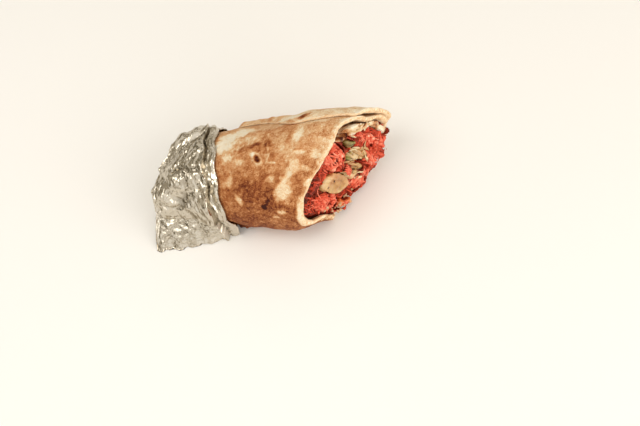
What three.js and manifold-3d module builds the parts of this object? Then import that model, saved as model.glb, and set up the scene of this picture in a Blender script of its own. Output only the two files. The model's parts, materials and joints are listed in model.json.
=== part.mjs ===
// Half of a naan roll, cut on the slant: one flatbread rolled round a red spiced chicken filling,
// with its uncut end wrapped in kitchen foil. It lies on its side, as served.
//
// Millimetres. X runs along the roll to the cut end, Y to the back and Z up. While the roll is
// being shaped, x = 0 is the middle of the cut. Angles go round the roll's axis, in degrees:
// 0 at the back, 90 on top, 180 at the front and 270 underneath.

import * as THREE from 'three';
import { mergeVertices } from 'three/addons/utils/BufferGeometryUtils.js';
import Module from 'manifold-3d';

// ---- the roll's outline ----
const CUT_HALF_WIDTH = 34.6;
const CLOSED_HALF_WIDTH = 20.5;
const FLARE = { from: -125, to: -8 };
const BEND = { forward: 2.2, x: -45, length: 32 };
const HEIGHT_TO_WIDTH = 0.9;
const PRESSED_FLAT = 1.5;
const SQUARENESS = { share: 0.045, turned: 73, from: -57, to: -9 };
const FRONT_SAG = { share: 0.05, at: 208, spread: 22, from: -10, to: -30 };
const CROWN = { rise: 1.5, at: 78, spread: 18, from: -40 };
const FLAT_BACK = { depth: 1.8, at: 35, spread: 25, x: -36, length: 16 };
const CURLED_RIM = { depth: 3.4, at: 214, spread: 17, length: 9 };
const CHARRED_LIP = { reach: 4.5, at: 222, spread: 9, x: -63, length: 6 };

// ---- the bread ----
const SHEET = 2.8;
const LAYER_GAP = 0.3;
const WRAP_STEP = SHEET + LAYER_GAP;
const WRAP_TAPER = 130;
const FREE_EDGE = { low: 33, high: 65, from: -52, to: -26, drop: 5, over: 16, gone: -76, back: -62 };
const EDGE_TAPER = { share: 0.45, over: 9 };
const GAPE = { depth: 3, from: -20, to: 2, opens: 20, closes: 45 };
const INNER_END = -25;
const BREAD_LEFT = -90;
const BLISTER = 0.7;
const BREAD_ROWS = 16;
const BREAD_COLUMNS = 56;

// ---- the cut ----
const SLANT = 0.614;
const LEAN = -0.08;
const CUT_DIP = { depth: 3, y: 10, z: 62, spread: 8 };
const RAGGED_CUT = 0.5;
const TORN_RIM = { depth: 4.5, from: -112, to: -14, soft: 16 };

// ---- the inner tongue of bread, as its middle line across the cut ----
const TONGUE_THICK = 2.2;
const TONGUE_BACK = 0.4;
const TONGUE_FOLD = { thick: 3.4, at: 0.72, spread: 0.2, from: 0.8 };
const TONGUE_LINE = [
  [30.2, 18.5], [28.3, 27], [26.8, 34.5], [23.2, 41.5], [18.6, 44.4], [15, 47], [11.2, 50.4],
  [7.8, 50.8], [4.6, 54],
];

// ---- the filling ----
const CORE_LEFT = -86;
const CORE_CLEAR = 0.45;
const CORE_RECESS = 4.2;
const BACK_BULGE = { toward: -48, from: 8, to: 23, out: 5.2 };
const LOW_BULGE = { toward: -100, from: 20, to: 26, out: 3.8 };
const TOP_HOLLOW = { depth: 16, y: 12, z: 54, spread: 7 };
const FRONT_SHADOW = { depth: 2.6, at: 150, spread: 40, length: 26 };
const CORE_ROWS = 7;
const CORE_COLUMNS = 32;
const CORE_RINGS = 5;
const SHRED_COUNT = 20;
const SHRED_RADIUS = 1.15;
const PIECE_GAP = 0.35;
const SIMPLER = 0.2;

// ---- the foil ----
const FOIL = 0.55;
const FOIL_CLEAR = 1.1;
const FOIL_COLLAR = { x: -73.3, swing: 4.4, turned: 15 };
const FOIL_END = { x: -107, slope: 0.19 };
const FOIL_CLOSING = { share: 0.35, from: -92, to: -110, toward: 60 };
const FOIL_LIFT = 0.95;
const LIFT_RAMP = { from: -68, to: -61 };
const HEM = { wide: 5.5, rise: 1.3 };
const APRON = { near: -28, far: -40, from: -72, to: -102, top: 188, right: -65 };
const APRON_HUG = { length: 10, from: 22, to: 5 };
const CREASE_COUNT = 6;
const CREASE_SPACING = { widest: 30, closest: 9 };
const CREASE_STEEPNESS = 0.075;
const FOIL_ROWS = 12;
const FOIL_COLUMNS = 46;
const FOIL_CAP_ROWS = 4;

// ---- where the roll stands in its own frame: the middle of its footprint ----
const CUT_X = 46.4;
const AXIS_Y = 2.6;

const wasm = await Module();
wasm.setup();

const rad = (degrees) => (degrees * Math.PI) / 180;
const mix = (a, b, t) => a + (b - a) * t;

function smooth(from, to, value) {
  const t = Math.min(1, Math.max(0, (value - from) / (to - from)));
  return t * t * (3 - 2 * t);
}

function bump(value, middle, spread) {
  return Math.exp(-(((value - middle) / spread) ** 2));
}

// the signed turn from one angle to another, -180 to 180
function turn(angle, from) {
  return ((((angle - from) % 360) + 540) % 360) - 180;
}

function randomFrom(seed) {
  let state = seed;
  return () => {
    state = (state * 1664525 + 1013904223) % 4294967296;
    return state / 4294967296;
  };
}

// ---- the form that bread, filling and foil share ----

function halfWidth(x) {
  return mix(CLOSED_HALF_WIDTH, CUT_HALF_WIDTH, smooth(FLARE.from, FLARE.to, x));
}

function axisY(x) {
  return -BEND.forward * bump(x, BEND.x, BEND.length);
}

function axisHeight(x) {
  return HEIGHT_TO_WIDTH * halfWidth(x) - PRESSED_FLAT;
}

// from the axis to the outside of the bread's first full turn
function rollRadius(angle, x) {
  const width = halfWidth(x);
  const height = HEIGHT_TO_WIDTH * width;
  const ellipse = 1 / Math.hypot(Math.cos(rad(angle)) / width, Math.sin(rad(angle)) / height);
  const corners = Math.cos(rad(4 * (angle - SQUARENESS.turned)));
  const square = SQUARENESS.share * corners * smooth(SQUARENESS.from, SQUARENESS.to, x);
  const sagging = FRONT_SAG.share * bump(turn(angle, FRONT_SAG.at), 0, FRONT_SAG.spread);
  const sag = sagging * smooth(FRONT_SAG.from, FRONT_SAG.to, x);
  const crown = CROWN.rise * bump(turn(angle, CROWN.at), 0, CROWN.spread) * smooth(CROWN.from, 0, x);
  const flat = bump(turn(angle, FLAT_BACK.at), 0, FLAT_BACK.spread) * bump(x, FLAT_BACK.x, FLAT_BACK.length);
  const dents = FLAT_BACK.depth * flat + curledRim(angle, x, ellipse);
  return ellipse * (1 + square + sag) + crown - dents;
}

// low on the front the rim of the cut curls in over the filling
function curledRim(angle, x, radius) {
  const y = radius * Math.cos(rad(angle));
  const toCut = x - cutX(y, axisHeight(x) + radius * Math.sin(rad(angle)));
  const around = bump(turn(angle, CURLED_RIM.at), 0, CURLED_RIM.spread);
  return CURLED_RIM.depth * around * smooth(-CURLED_RIM.length, 0, toCut);
}

// a charred flake that stands out low on the front, beside the foil
function charredLip(angle, x) {
  const around = bump(turn(angle, CHARRED_LIP.at), 0, CHARRED_LIP.spread);
  return CHARRED_LIP.reach * around * bump(x, CHARRED_LIP.x, CHARRED_LIP.length);
}

function freeEdgeAngle(x) {
  const risen = mix(FREE_EDGE.low, FREE_EDGE.high, smooth(FREE_EDGE.from, FREE_EDGE.to, x));
  const shown = smooth(FREE_EDGE.gone, FREE_EDGE.back, x);
  return risen * shown - FREE_EDGE.drop * smooth(-FREE_EDGE.over, 0, x);
}

// how far a turn stands off the first one, after so many degrees along the sheet; at the cut the
// two turns gape a little below the free edge
function layerOffset(along, x) {
  const outerTurn = WRAP_STEP * (1 - smooth(0, WRAP_TAPER, along % 360));
  if (along < 360) {
    return outerTurn;
  }
  const past = along - 360;
  const gape = smooth(0, GAPE.opens, past) * (1 - smooth(GAPE.opens, GAPE.closes, past));
  return outerTurn - WRAP_STEP - GAPE.depth * gape * smooth(GAPE.from, GAPE.to, x);
}

// the underside of the bread: on the table, but lifted where the foil runs below it
function breadFloor(x) {
  return FOIL_LIFT * (1 - smooth(LIFT_RAMP.from, LIFT_RAMP.to, x));
}

function onRoll(radius, angle, x, floor) {
  const y = axisY(x) + radius * Math.cos(rad(angle));
  const z = axisHeight(x) + radius * Math.sin(rad(angle));
  return new THREE.Vector3(x, y, Math.max(z, floor));
}

function cutX(y, z) {
  const middle = HEIGHT_TO_WIDTH * CUT_HALF_WIDTH - PRESSED_FLAT;
  const dip = CUT_DIP.depth * bump(Math.hypot(y - CUT_DIP.y, z - CUT_DIP.z), 0, CUT_DIP.spread);
  return SLANT * y + LEAN * (z - middle) - dip;
}

// ---- meshes ----

function solidFrom(points, triangles) {
  const geometry = new THREE.BufferGeometry();
  const flat = new Float32Array(points.flatMap((p) => [p.x, p.y, p.z]));
  geometry.setAttribute('position', new THREE.BufferAttribute(flat, 3));
  geometry.setIndex(triangles.flat());
  return toManifold(geometry);
}

function toManifold(geometry) {
  geometry.deleteAttribute('normal');
  geometry.deleteAttribute('uv');
  const merged = mergeVertices(geometry, 1e-4);
  const position = merged.attributes.position.array;
  const index = Uint32Array.from(merged.index.array);
  if (signedVolume(position, index) < 0) {
    for (let i = 0; i < index.length; i += 3) {
      [index[i], index[i + 1]] = [index[i + 1], index[i]];
    }
  }
  const mesh = new wasm.Mesh({ numProp: 3, vertProperties: Float32Array.from(position), triVerts: index });
  return new wasm.Manifold(mesh);
}

function signedVolume(position, index) {
  const corner = (i) => new THREE.Vector3().fromArray(position, 3 * index[i]);
  let total = 0;
  for (let i = 0; i < index.length; i += 3) {
    total += corner(i).dot(corner(i + 1).cross(corner(i + 2))) / 6;
  }
  return total;
}

function toGeometry(manifold) {
  const mesh = manifold.getMesh();
  const geometry = new THREE.BufferGeometry();
  geometry.setAttribute('position', new THREE.BufferAttribute(Float32Array.from(mesh.vertProperties), 3));
  geometry.setIndex(Array.from(mesh.triVerts));
  return geometry;
}

function largestPart(manifold) {
  const parts = manifold.decompose();
  return parts.reduce((best, part) => (part.volume() > best.volume() ? part : best));
}

// a sheet of even thickness from two grids of points, its outer and inner faces split alike
function sheetSolid(outer, inner) {
  const rows = outer.length;
  const columns = outer[0].length;
  const points = [...outer.flat(), ...inner.flat()];
  const at = (face, i, k) => face * rows * columns + i * columns + k;
  const triangles = [];
  const quad = (a, b, c, d) => triangles.push([a, b, c], [a, c, d]);
  for (let i = 0; i + 1 < rows; i++) {
    for (let k = 0; k + 1 < columns; k++) {
      quad(at(0, i, k), at(0, i + 1, k), at(0, i + 1, k + 1), at(0, i, k + 1));
      triangles.push([at(1, i, k), at(1, i + 1, k + 1), at(1, i + 1, k)]);
      triangles.push([at(1, i, k), at(1, i, k + 1), at(1, i + 1, k + 1)]);
    }
    quad(at(0, i + 1, 0), at(0, i, 0), at(1, i, 0), at(1, i + 1, 0));
    quad(at(0, i, columns - 1), at(0, i + 1, columns - 1), at(1, i + 1, columns - 1), at(1, i, columns - 1));
  }
  for (let k = 0; k + 1 < columns; k++) {
    quad(at(0, 0, k), at(0, 0, k + 1), at(1, 0, k + 1), at(1, 0, k));
    quad(at(0, rows - 1, k + 1), at(0, rows - 1, k), at(1, rows - 1, k), at(1, rows - 1, k + 1));
  }
  return solidFrom(points, triangles);
}

// a closed body from rings of points that all have the same count, with a point at each end
function ringSolid(start, rings, finish) {
  const count = rings[0].length;
  const points = [start, ...rings.flat(), finish];
  const at = (i, k) => 1 + i * count + (k % count);
  const triangles = [];
  for (let k = 0; k < count; k++) {
    triangles.push([0, at(0, k), at(0, k + 1)]);
    triangles.push([points.length - 1, at(rings.length - 1, k + 1), at(rings.length - 1, k)]);
    for (let i = 0; i + 1 < rings.length; i++) {
      triangles.push([at(i, k), at(i + 1, k), at(i + 1, k + 1)]);
      triangles.push([at(i, k), at(i + 1, k + 1), at(i, k + 1)]);
    }
  }
  return solidFrom(points, triangles);
}

// ---- the bread ----

// low blisters on the outer face, none under the foil or under the overlap
function blisters(angle, x, along) {
  const wave = Math.sin(rad(3.1 * angle) + x / 6.3) * Math.sin(rad(2.3 * angle) - x / 8.9 + 1.4);
  const fine = 0.5 * Math.sin(rad(6.7 * angle) - x / 3.7) * Math.sin(x / 4.9 + rad(4.1 * angle));
  const open = smooth(-70, -62, x) * (1 - smooth(325, 345, along));
  return BLISTER * Math.max(0, wave + fine) * open;
}

// the rim under the back of the filling is torn short, and the filling hangs over it
function tornRim(angle) {
  const below = turn(angle, 0);
  const { depth, from, to, soft } = TORN_RIM;
  return depth * smooth(from - soft, from, below) * (1 - smooth(to, to + soft, below));
}

function breadPoint(share, part, depth) {
  const point = new THREE.Vector3(part === 1 ? 0 : BREAD_LEFT, 0, 0);
  const place = (x) => {
    const total = freeEdgeAngle(x) - INNER_END + 360;
    const along = total * share;
    const angle = freeEdgeAngle(x) - along;
    const thinned = EDGE_TAPER.share * SHEET * smooth(EDGE_TAPER.over, 0, along);
    const relief = depth === 0 ? blisters(angle, x, along) + charredLip(angle, x) - thinned : 0;
    const radius = rollRadius(angle, x) + layerOffset(along, x) + relief - depth;
    point.copy(onRoll(radius, angle, x, breadFloor(x) + depth));
    return angle;
  };
  let x = 0;
  for (let i = 0; i < 25; i++) {
    const angle = place(x);
    const ragged = RAGGED_CUT * Math.sin(rad(5 * angle)) * Math.cos(rad(11 * angle));
    x = cutX(point.y, point.z) - tornRim(angle) + ragged;
  }
  place(mix(BREAD_LEFT, x, part));
  return point;
}

function rolledSheet() {
  const face = (depth) => {
    const rows = [];
    for (let i = 0; i <= BREAD_ROWS; i++) {
      const part = 1 - (1 - i / BREAD_ROWS) ** 1.12;
      const row = [];
      for (let k = 0; k <= BREAD_COLUMNS; k++) {
        row.push(breadPoint(k / BREAD_COLUMNS, part, depth));
      }
      rows.push(row);
    }
    return rows;
  };
  return sheetSolid(face(0), face(SHEET));
}

// towards the cut the tongue's end is doubled over, which fills the hollow above it
function tongueFold(across, part) {
  const { thick, at, spread, from } = TONGUE_FOLD;
  return thick * bump(across, at, spread) * smooth(from, 1, part);
}

function tongue(grow) {
  const middle = HEIGHT_TO_WIDTH * CUT_HALF_WIDTH - PRESSED_FLAT;
  const line = new THREE.CatmullRomCurve3(TONGUE_LINE.map(([y, z]) => new THREE.Vector3(0, y, z - middle)));
  const steps = 15;
  const rows = 6;
  const face = (side) => {
    const grid = [];
    for (let i = 0; i <= rows; i++) {
      const row = [];
      for (let k = 0; k <= steps; k++) {
        const share = mix(-grow / 40, 1 + grow / 40, k / steps);
        const at = line.getPoint(Math.min(1, Math.max(0, share)));
        const along = line.getTangent(Math.min(1, Math.max(0, share)));
        at.addScaledVector(along, share > 1 ? grow : 0);
        const folded = side < 0 ? tongueFold(k / steps, i / rows) : 0;
        const off = side * (TONGUE_THICK / 2 + grow + folded);
        const y = at.y - along.z * off;
        const z = at.z + along.y * off;
        const ripple = 0.9 * Math.sin(k * 1.3);
        const end = cutX(y, z + middle) - TONGUE_BACK + ripple + grow;
        const x = mix(BREAD_LEFT + 2 - grow, end, i / rows);
        const scale = halfWidth(x) / CUT_HALF_WIDTH;
        row.push(new THREE.Vector3(x, axisY(x) + y * scale, axisHeight(x) + z * scale));
      }
      grid.push(row);
    }
    return grid;
  };
  return sheetSolid(face(1), face(-1));
}

// ---- the filling ----

// from the axis to the inner face of the bread
function cavityRadius(angle, x) {
  const edge = freeEdgeAngle(x);
  const back = turn(angle, 0);
  const outerTurn = layerOffset((((edge - back) % 360) + 360) % 360, x);
  const lining = back <= edge ? layerOffset(360 + edge - back, x) : 0;
  const doubled = smooth(INNER_END - 17, INNER_END - 3, back);
  const offset = back <= edge ? mix(outerTurn, lining, doubled) : 0;
  return rollRadius(angle, x) + Math.min(offset, outerTurn) - SHEET;
}

// the heap swells past its recess towards the back and towards the table
function swelling(y, high, { toward, from, to, out }) {
  const reach = y * Math.cos(rad(toward)) + high * Math.sin(rad(toward));
  return out * smooth(from, to, reach);
}

function coreFace(y, z) {
  const high = z - (HEIGHT_TO_WIDTH * CUT_HALF_WIDTH - PRESSED_FLAT);
  const bulge = Math.max(swelling(y, high, BACK_BULGE), swelling(y, high, LOW_BULGE));
  const fromHollow = Math.hypot(y - TOP_HOLLOW.y, z - TOP_HOLLOW.z);
  const hollow = TOP_HOLLOW.depth * bump(fromHollow, 0, TOP_HOLLOW.spread);
  const lumps = 0.9 * Math.sin(y / 2.1 + 1) * Math.sin(z / 2.6) + 0.6 * Math.sin(y / 1.3 - z / 1.7);
  return cutX(y, z) - CORE_RECESS + bulge - hollow + lumps;
}

function coreRadius(angle, x, toCut) {
  const shadow = FRONT_SHADOW.depth * bump(turn(angle, FRONT_SHADOW.at), 0, FRONT_SHADOW.spread);
  const room = Math.min(...[-6, 0, 6].map((aside) => cavityRadius(angle + aside, x)));
  return room - CORE_CLEAR - shadow * smooth(FRONT_SHADOW.length, 0, toCut);
}

function fillingCore() {
  const faceRing = (share) => {
    const ring = [];
    for (let k = 0; k < CORE_COLUMNS; k++) {
      const angle = (360 * k) / CORE_COLUMNS;
      let x = 0;
      let point;
      for (let i = 0; i < 25; i++) {
        const floor = breadFloor(x) + SHEET + CORE_CLEAR;
        point = onRoll(coreRadius(angle, x, 0), angle, x, floor);
        point.y = mix(axisY(x), point.y, share);
        point.z = mix(axisHeight(x), point.z, share);
        x = coreFace(point.y, point.z);
      }
      point.x = x;
      ring.push(point);
    }
    return ring;
  };
  const rings = [];
  const rim = faceRing(1);
  for (let i = 0; i < CORE_ROWS; i++) {
    rings.push(rim.map((end, k) => {
      const angle = (360 * k) / CORE_COLUMNS;
      const x = mix(CORE_LEFT, end.x, i / CORE_ROWS);
      return onRoll(coreRadius(angle, x, end.x - x), angle, x, breadFloor(x) + SHEET + CORE_CLEAR);
    }));
  }
  for (let i = 0; i < CORE_RINGS; i++) {
    rings.push(faceRing(1 - i / CORE_RINGS));
  }
  const middle = axisHeight(0);
  const start = new THREE.Vector3(CORE_LEFT, axisY(CORE_LEFT), axisHeight(CORE_LEFT));
  return ringSolid(start, rings, new THREE.Vector3(coreFace(0, middle), 0, middle));
}

// keeps a point of the filling inside the bread, or just inside its outline past the torn rim
function insideBread(point, grow = 0) {
  const high = point.z - axisHeight(point.x);
  const back = point.y - axisY(point.x);
  const angle = THREE.MathUtils.radToDeg(Math.atan2(high, back));
  const radius = Math.hypot(back, high);
  const rim = cutX(point.y, point.z) - tornRim(angle);
  const outside = point.x > rim + RAGGED_CUT + 1;
  const limit = outside ? rollRadius(angle, point.x) - 0.8 : cavityRadius(angle, point.x) - CORE_CLEAR;
  const factor = Math.min(1, (limit + grow) / radius);
  const floor = (outside ? 0.8 : breadFloor(point.x) + SHEET + CORE_CLEAR) - grow;
  point.y = axisY(point.x) + back * factor;
  point.z = Math.max(axisHeight(point.x) + high * factor, floor);
  return point;
}

// a strand of pulled chicken: a bent, pointed bar lying on the face of the core
function shred(random) {
  const angle = mix(-150, 20, random());
  const away = mix(0.35, 0.9, random());
  const heading = mix(40, 150, random());
  const length = mix(8, 14, random());
  const bend = mix(-0.05, 0.05, random());
  const thick = SHRED_RADIUS * mix(0.8, 1.25, random());
  const start = onRoll(cavityRadius(angle, 0) * away, angle, 0, SHEET + 2);
  const rings = [];
  const sides = 5;
  const steps = 5;
  const centre = (t) => {
    const way = rad(heading) + bend * t * length;
    const y = start.y + Math.cos(way) * (t - 0.5) * length;
    const z = start.z + Math.sin(way) * (t - 0.5) * length;
    return insideBread(new THREE.Vector3(coreFace(y, z) + thick * 0.35, y, z));
  };
  for (let i = 1; i < steps; i++) {
    const t = i / steps;
    const middle = centre(t);
    const along = centre(t + 0.02).sub(centre(t - 0.02)).normalize();
    const side = new THREE.Vector3().crossVectors(along, new THREE.Vector3(1, 0, 0)).normalize();
    const up = new THREE.Vector3().crossVectors(side, along);
    const radius = thick * Math.sqrt(Math.sin(Math.PI * t));
    const ring = [];
    for (let k = 0; k < sides; k++) {
      const round = (2 * Math.PI * k) / sides;
      const offset = side.clone().multiplyScalar(Math.cos(round)).addScaledVector(up, Math.sin(round));
      ring.push(insideBread(middle.clone().addScaledVector(offset, radius)));
    }
    rings.push(ring);
  }
  return ringSolid(centre(0), rings, centre(1));
}

// one piece of the filling: a lumpy body whose front stands near the cut
function lump(piece, grow) {
  const across = 11;
  const down = 7;
  const geometry = new THREE.SphereGeometry(1, across, down);
  const position = geometry.attributes.position;
  const long = new THREE.Vector3(0, Math.cos(rad(piece.tilt)), Math.sin(rad(piece.tilt)));
  const short = new THREE.Vector3(0, -long.z, long.y);
  for (let i = 0; i < position.count; i++) {
    const unit = new THREE.Vector3().fromBufferAttribute(position, i);
    const ripple = Math.sin(5 * unit.x + piece.seed) * Math.sin(4 * unit.y + 2 * piece.seed);
    const size = 1 + piece.lumpy * ripple;
    const point = new THREE.Vector3(0, piece.y, piece.z);
    point.addScaledVector(long, unit.y * ((size * piece.long) / 2 + grow));
    point.addScaledVector(short, unit.x * ((size * piece.short) / 2 + grow));
    const cup = (piece.cup ?? 0) * (unit.y ** 2 - 0.4);
    const depth = piece.deep * (unit.z - 1) + grow * unit.z + cup;
    point.x = cutX(point.y, point.z) + piece.proud + depth;
    insideBread(point, grow);
    position.setXYZ(i, point.x, point.y, point.z);
  }
  return toManifold(geometry);
}

const CHICKEN = { color: 0xc4402c, lumpy: 0.14 };
const STAINED_CHICKEN = { color: 0xd9632f, lumpy: 0.14 };
const ONION = { color: 0xcdb27c, lumpy: 0.05 };
const ONION_CUP = { color: 0xcdb27c, lumpy: 0.05, cup: 2 };
const PEPPER = { color: 0x7f8a45, lumpy: 0.06 };

// each piece by its middle on the cut, its length, breadth and depth, the slope of its length
// over the cut, and how far it stands proud of the cut
const PIECES = [
  ['chicken_1', CHICKEN, { y: -1, z: 42.5, long: 27, short: 16.5, deep: 9, tilt: 99, proud: -1.2 }],
  ['chicken_2', CHICKEN, { y: 22.5, z: 23.5, long: 23, short: 12, deep: 8, tilt: 109, proud: -0.2 }],
  ['chicken_3', CHICKEN, { y: -16, z: 18.5, long: 29, short: 14.5, deep: 8, tilt: 115, proud: -1 }],
  ['chicken_4', CHICKEN, { y: 4.5, z: 8.5, long: 15, short: 9, deep: 6, tilt: 30, proud: 0.8 }],
  ['chicken_5', CHICKEN, { y: 17, z: 12.5, long: 13, short: 9.5, deep: 6, tilt: 70, proud: 1.6 }],
  ['chicken_6', STAINED_CHICKEN, { y: -9, z: 6, long: 12, short: 6, deep: 4, tilt: 150, proud: 1.4 }],
  ['onion_1', ONION_CUP, { y: -6.8, z: 24, long: 26, short: 13, deep: 5, tilt: 113, proud: -0.4 }],
  ['onion_2', ONION, { y: 3.4, z: 18.5, long: 17, short: 4.8, deep: 4, tilt: 121, proud: -0.8 }],
  ['onion_3', ONION, { y: 13, z: 24, long: 19, short: 5, deep: 4, tilt: 110, proud: -0.8 }],
  ['onion_4', ONION, { y: 8.6, z: 17.5, long: 10, short: 3.8, deep: 4, tilt: 101, proud: -1 }],
  ['pepper_1', PEPPER, { y: 10.6, z: 39.5, long: 9, short: 3.6, deep: 4, tilt: 115, proud: -1.4 }],
  ['pepper_2', PEPPER, { y: 7.6, z: 29.5, long: 9.5, short: 4, deep: 4, tilt: 108, proud: -0.6 }],
].map(([name, kind, place], i) => ({ name, ...kind, ...place, seed: i + 1 }));

// every piece is trimmed by the bread's tongue and by the pieces before it
function fillingPieces() {
  const tongueRoom = tongue(PIECE_GAP);
  const rooms = [];
  return PIECES.map((piece) => {
    let body = lump(piece, 0).subtract(tongueRoom);
    for (const room of rooms) {
      body = body.subtract(room);
    }
    rooms.push(lump(piece, PIECE_GAP));
    return { name: piece.name, color: piece.color, solid: largestPart(body) };
  });
}

function fillingHeap() {
  const random = randomFrom(41);
  let heap = fillingCore();
  for (let i = 0; i < SHRED_COUNT; i++) {
    heap = heap.add(shred(random));
  }
  heap = heap.subtract(tongue(PIECE_GAP));
  for (const piece of PIECES) {
    heap = heap.subtract(lump(piece, PIECE_GAP));
  }
  return largestPart(heap).asOriginal().simplify(SIMPLER);
}

// ---- the foil ----

// sharp creases that only push the foil outwards: folded planes of several sizes and directions
const CREASES = (() => {
  const random = randomFrom(7);
  return Array.from({ length: CREASE_COUNT }, (_, i) => {
    const way = new THREE.Vector3(random() - 0.5, random() - 0.5, random() - 0.5).normalize();
    const spacing = mix(CREASE_SPACING.widest, CREASE_SPACING.closest, i / (CREASE_COUNT - 1));
    return { way: way.divideScalar(spacing), phase: random(), height: spacing * CREASE_STEEPNESS };
  });
})();

function crumple(point) {
  let total = 0;
  for (const { way, phase, height } of CREASES) {
    const place = point.dot(way) + phase;
    total += height * Math.abs(place - Math.round(place)) * 2;
  }
  return total;
}

function apronEdge(x) {
  const ragged = 1.1 * Math.sin(x / 2.3) * Math.sin(x / 5.1 + 1);
  return mix(APRON.near, APRON.far, smooth(APRON.from, APRON.to, x)) + ragged;
}

function collarX(angle) {
  const around = FOIL_COLLAR.x - FOIL_COLLAR.swing * Math.cos(rad(angle - FOIL_COLLAR.turned));
  const apron = bump(turn(angle, 212), 0, 14);
  return mix(around + 0.6 * Math.sin(rad(9 * angle)), APRON.right, apron);
}

// across the foil: round the bread, and at the front out to the apron's edge and back underneath;
// beside the collar the apron lies against the bread down to near the table
function foilRadius(angle, x, corner) {
  const high = axisHeight(x);
  const edge = freeEdgeAngle(x);
  const overlap = WRAP_STEP * smooth(edge + 28, edge, turn(angle, 0));
  const overlapped = overlap * smooth(-150, -60, turn(angle, 0));
  const around = rollRadius(angle, x) + charredLip(angle, x) + overlapped + FOIL_CLEAR;
  const over = turn(angle, APRON.top);
  if (over < 0 || angle > 270) {
    return around;
  }
  const topRadius = rollRadius(APRON.top, x) + FOIL_CLEAR;
  const top = { y: topRadius * Math.cos(rad(APRON.top)), z: topRadius * Math.sin(rad(APRON.top)) };
  const side = { y: apronEdge(x) - top.y, z: -high - top.z };
  const ray = { y: Math.cos(rad(angle)), z: Math.sin(rad(angle)) };
  const apron = (top.y * side.z - top.z * side.y) / (ray.y * side.z - ray.z * side.y);
  if (angle > corner) {
    return Math.max(around, -high / ray.z);
  }
  const beside = smooth(APRON_HUG.length, 0, collarX(angle) - x);
  const hug = beside * smooth(APRON_HUG.to, APRON_HUG.from, corner - angle);
  return mix(Math.max(around, apron), around, hug);
}

function cornerAngle(x) {
  return 180 + THREE.MathUtils.radToDeg(Math.atan2(axisHeight(x), -apronEdge(x)));
}

// columns go once round from under the roll, forward to the apron's edge, over the top and back
function foilAngle(k, x) {
  const under = 7;
  const apron = 7;
  const corner = cornerAngle(x);
  if (k <= under) {
    return mix(270, corner, k / under);
  }
  if (k <= under + apron) {
    return mix(corner, APRON.top, (k - under) / apron);
  }
  return mix(APRON.top, -90, (k - under - apron) / (FOIL_COLUMNS - under - apron));
}

function foilPoint(k, t) {
  let x = -90;
  let point;
  for (let i = 0; i < 20; i++) {
    const angle = foilAngle(k, x);
    const corner = cornerAngle(x);
    const base = foilRadius(angle, x, corner);
    const rough = onRoll(base, angle, x, 0);
    const fromCollar = collarX(angle) - x;
    const hem = HEM.rise * smooth(HEM.wide + 1, HEM.wide, fromCollar);
    const ears = 3.4 * bump(turn(angle, 44), 0, 11) * (bump(x, -81, 3) + bump(x, -101, 4));
    const folded = FOIL_CLOSING.share * (1 - smooth(FOIL_CLOSING.to, FOIL_CLOSING.from, x));
    const closing = 1 - folded * Math.max(0, Math.cos(rad(angle - FOIL_CLOSING.toward)));
    const creases = crumple(rough) * smooth(0, 1.5, fromCollar - HEM.wide) * (k === 7 ? 0.3 : 1);
    point = onRoll(base * closing + hem + ears + creases, angle, x, 0);
    const end = FOIL_END.x + FOIL_END.slope * point.y;
    x = mix(collarX(angle), end, t);
  }
  point.x = x;
  return point;
}

function foilRings() {
  const rings = [];
  for (let i = 0; i <= FOIL_ROWS; i++) {
    const t = i < 2 ? i * 0.07 : mix(0.14, 1, (i - 1) / (FOIL_ROWS - 1));
    rings.push(Array.from({ length: FOIL_COLUMNS }, (_, k) => foilPoint(k, t)));
  }
  const rim = rings[rings.length - 1];
  const pole = new THREE.Vector3(FOIL_END.x + 0.5, -3, 25);
  for (let i = 1; i <= FOIL_CAP_ROWS; i++) {
    const share = i / (FOIL_CAP_ROWS + 1);
    rings.push(rim.map((point, k) => {
      const inward = point.clone().lerp(pole, share);
      inward.x -= (crumple(point.clone().multiplyScalar(1.7)) - 1) * 0.9 * Math.sin(Math.PI * share);
      inward.z = Math.max(inward.z, 0);
      return inward;
    }));
  }
  return { rings, pole };
}

function foilWrap() {
  const { rings, pole } = foilRings();
  const count = FOIL_COLUMNS;
  const outer = [...rings.flat(), pole];
  const faces = [];
  const at = (i, k) => i * count + (k % count);
  for (let i = 0; i + 1 < rings.length; i++) {
    for (let k = 0; k < count; k++) {
      faces.push([at(i, k), at(i + 1, k), at(i + 1, k + 1)], [at(i, k), at(i + 1, k + 1), at(i, k + 1)]);
    }
  }
  for (let k = 0; k < count; k++) {
    faces.push([at(rings.length - 1, k), outer.length - 1, at(rings.length - 1, k + 1)]);
  }
  const inner = inwardCopy(outer, faces, FOIL);
  const shift = outer.length;
  const triangles = [...faces, ...faces.map(([a, b, c]) => [a + shift, c + shift, b + shift])];
  for (let k = 0; k < count; k++) {
    triangles.push([at(0, k + 1), at(0, k) + shift, at(0, k)]);
    triangles.push([at(0, k + 1), at(0, k + 1) + shift, at(0, k) + shift]);
  }
  return solidFrom([...outer, ...inner], triangles);
}

// every point moved in along its normal, which points away from the roll's axis
function inwardCopy(points, faces, thickness) {
  const normals = points.map(() => new THREE.Vector3());
  for (const [a, b, c] of faces) {
    const ab = points[b].clone().sub(points[a]);
    const normal = ab.cross(points[c].clone().sub(points[a]));
    [a, b, c].forEach((i) => normals[i].add(normal));
  }
  const centre = new THREE.Vector3(-90, 0, 25);
  const outward = points.reduce((sum, p, i) => sum + normals[i].dot(p.clone().sub(centre)), 0);
  const way = outward > 0 ? -thickness : thickness;
  return points.map((point, i) => point.clone().addScaledVector(normals[i].normalize(), way));
}

// ---- the whole roll ----

function mesh(name, solid, look) {
  const node = new THREE.Mesh(toGeometry(solid), new THREE.MeshStandardMaterial(look));
  node.name = name;
  return node;
}

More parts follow.
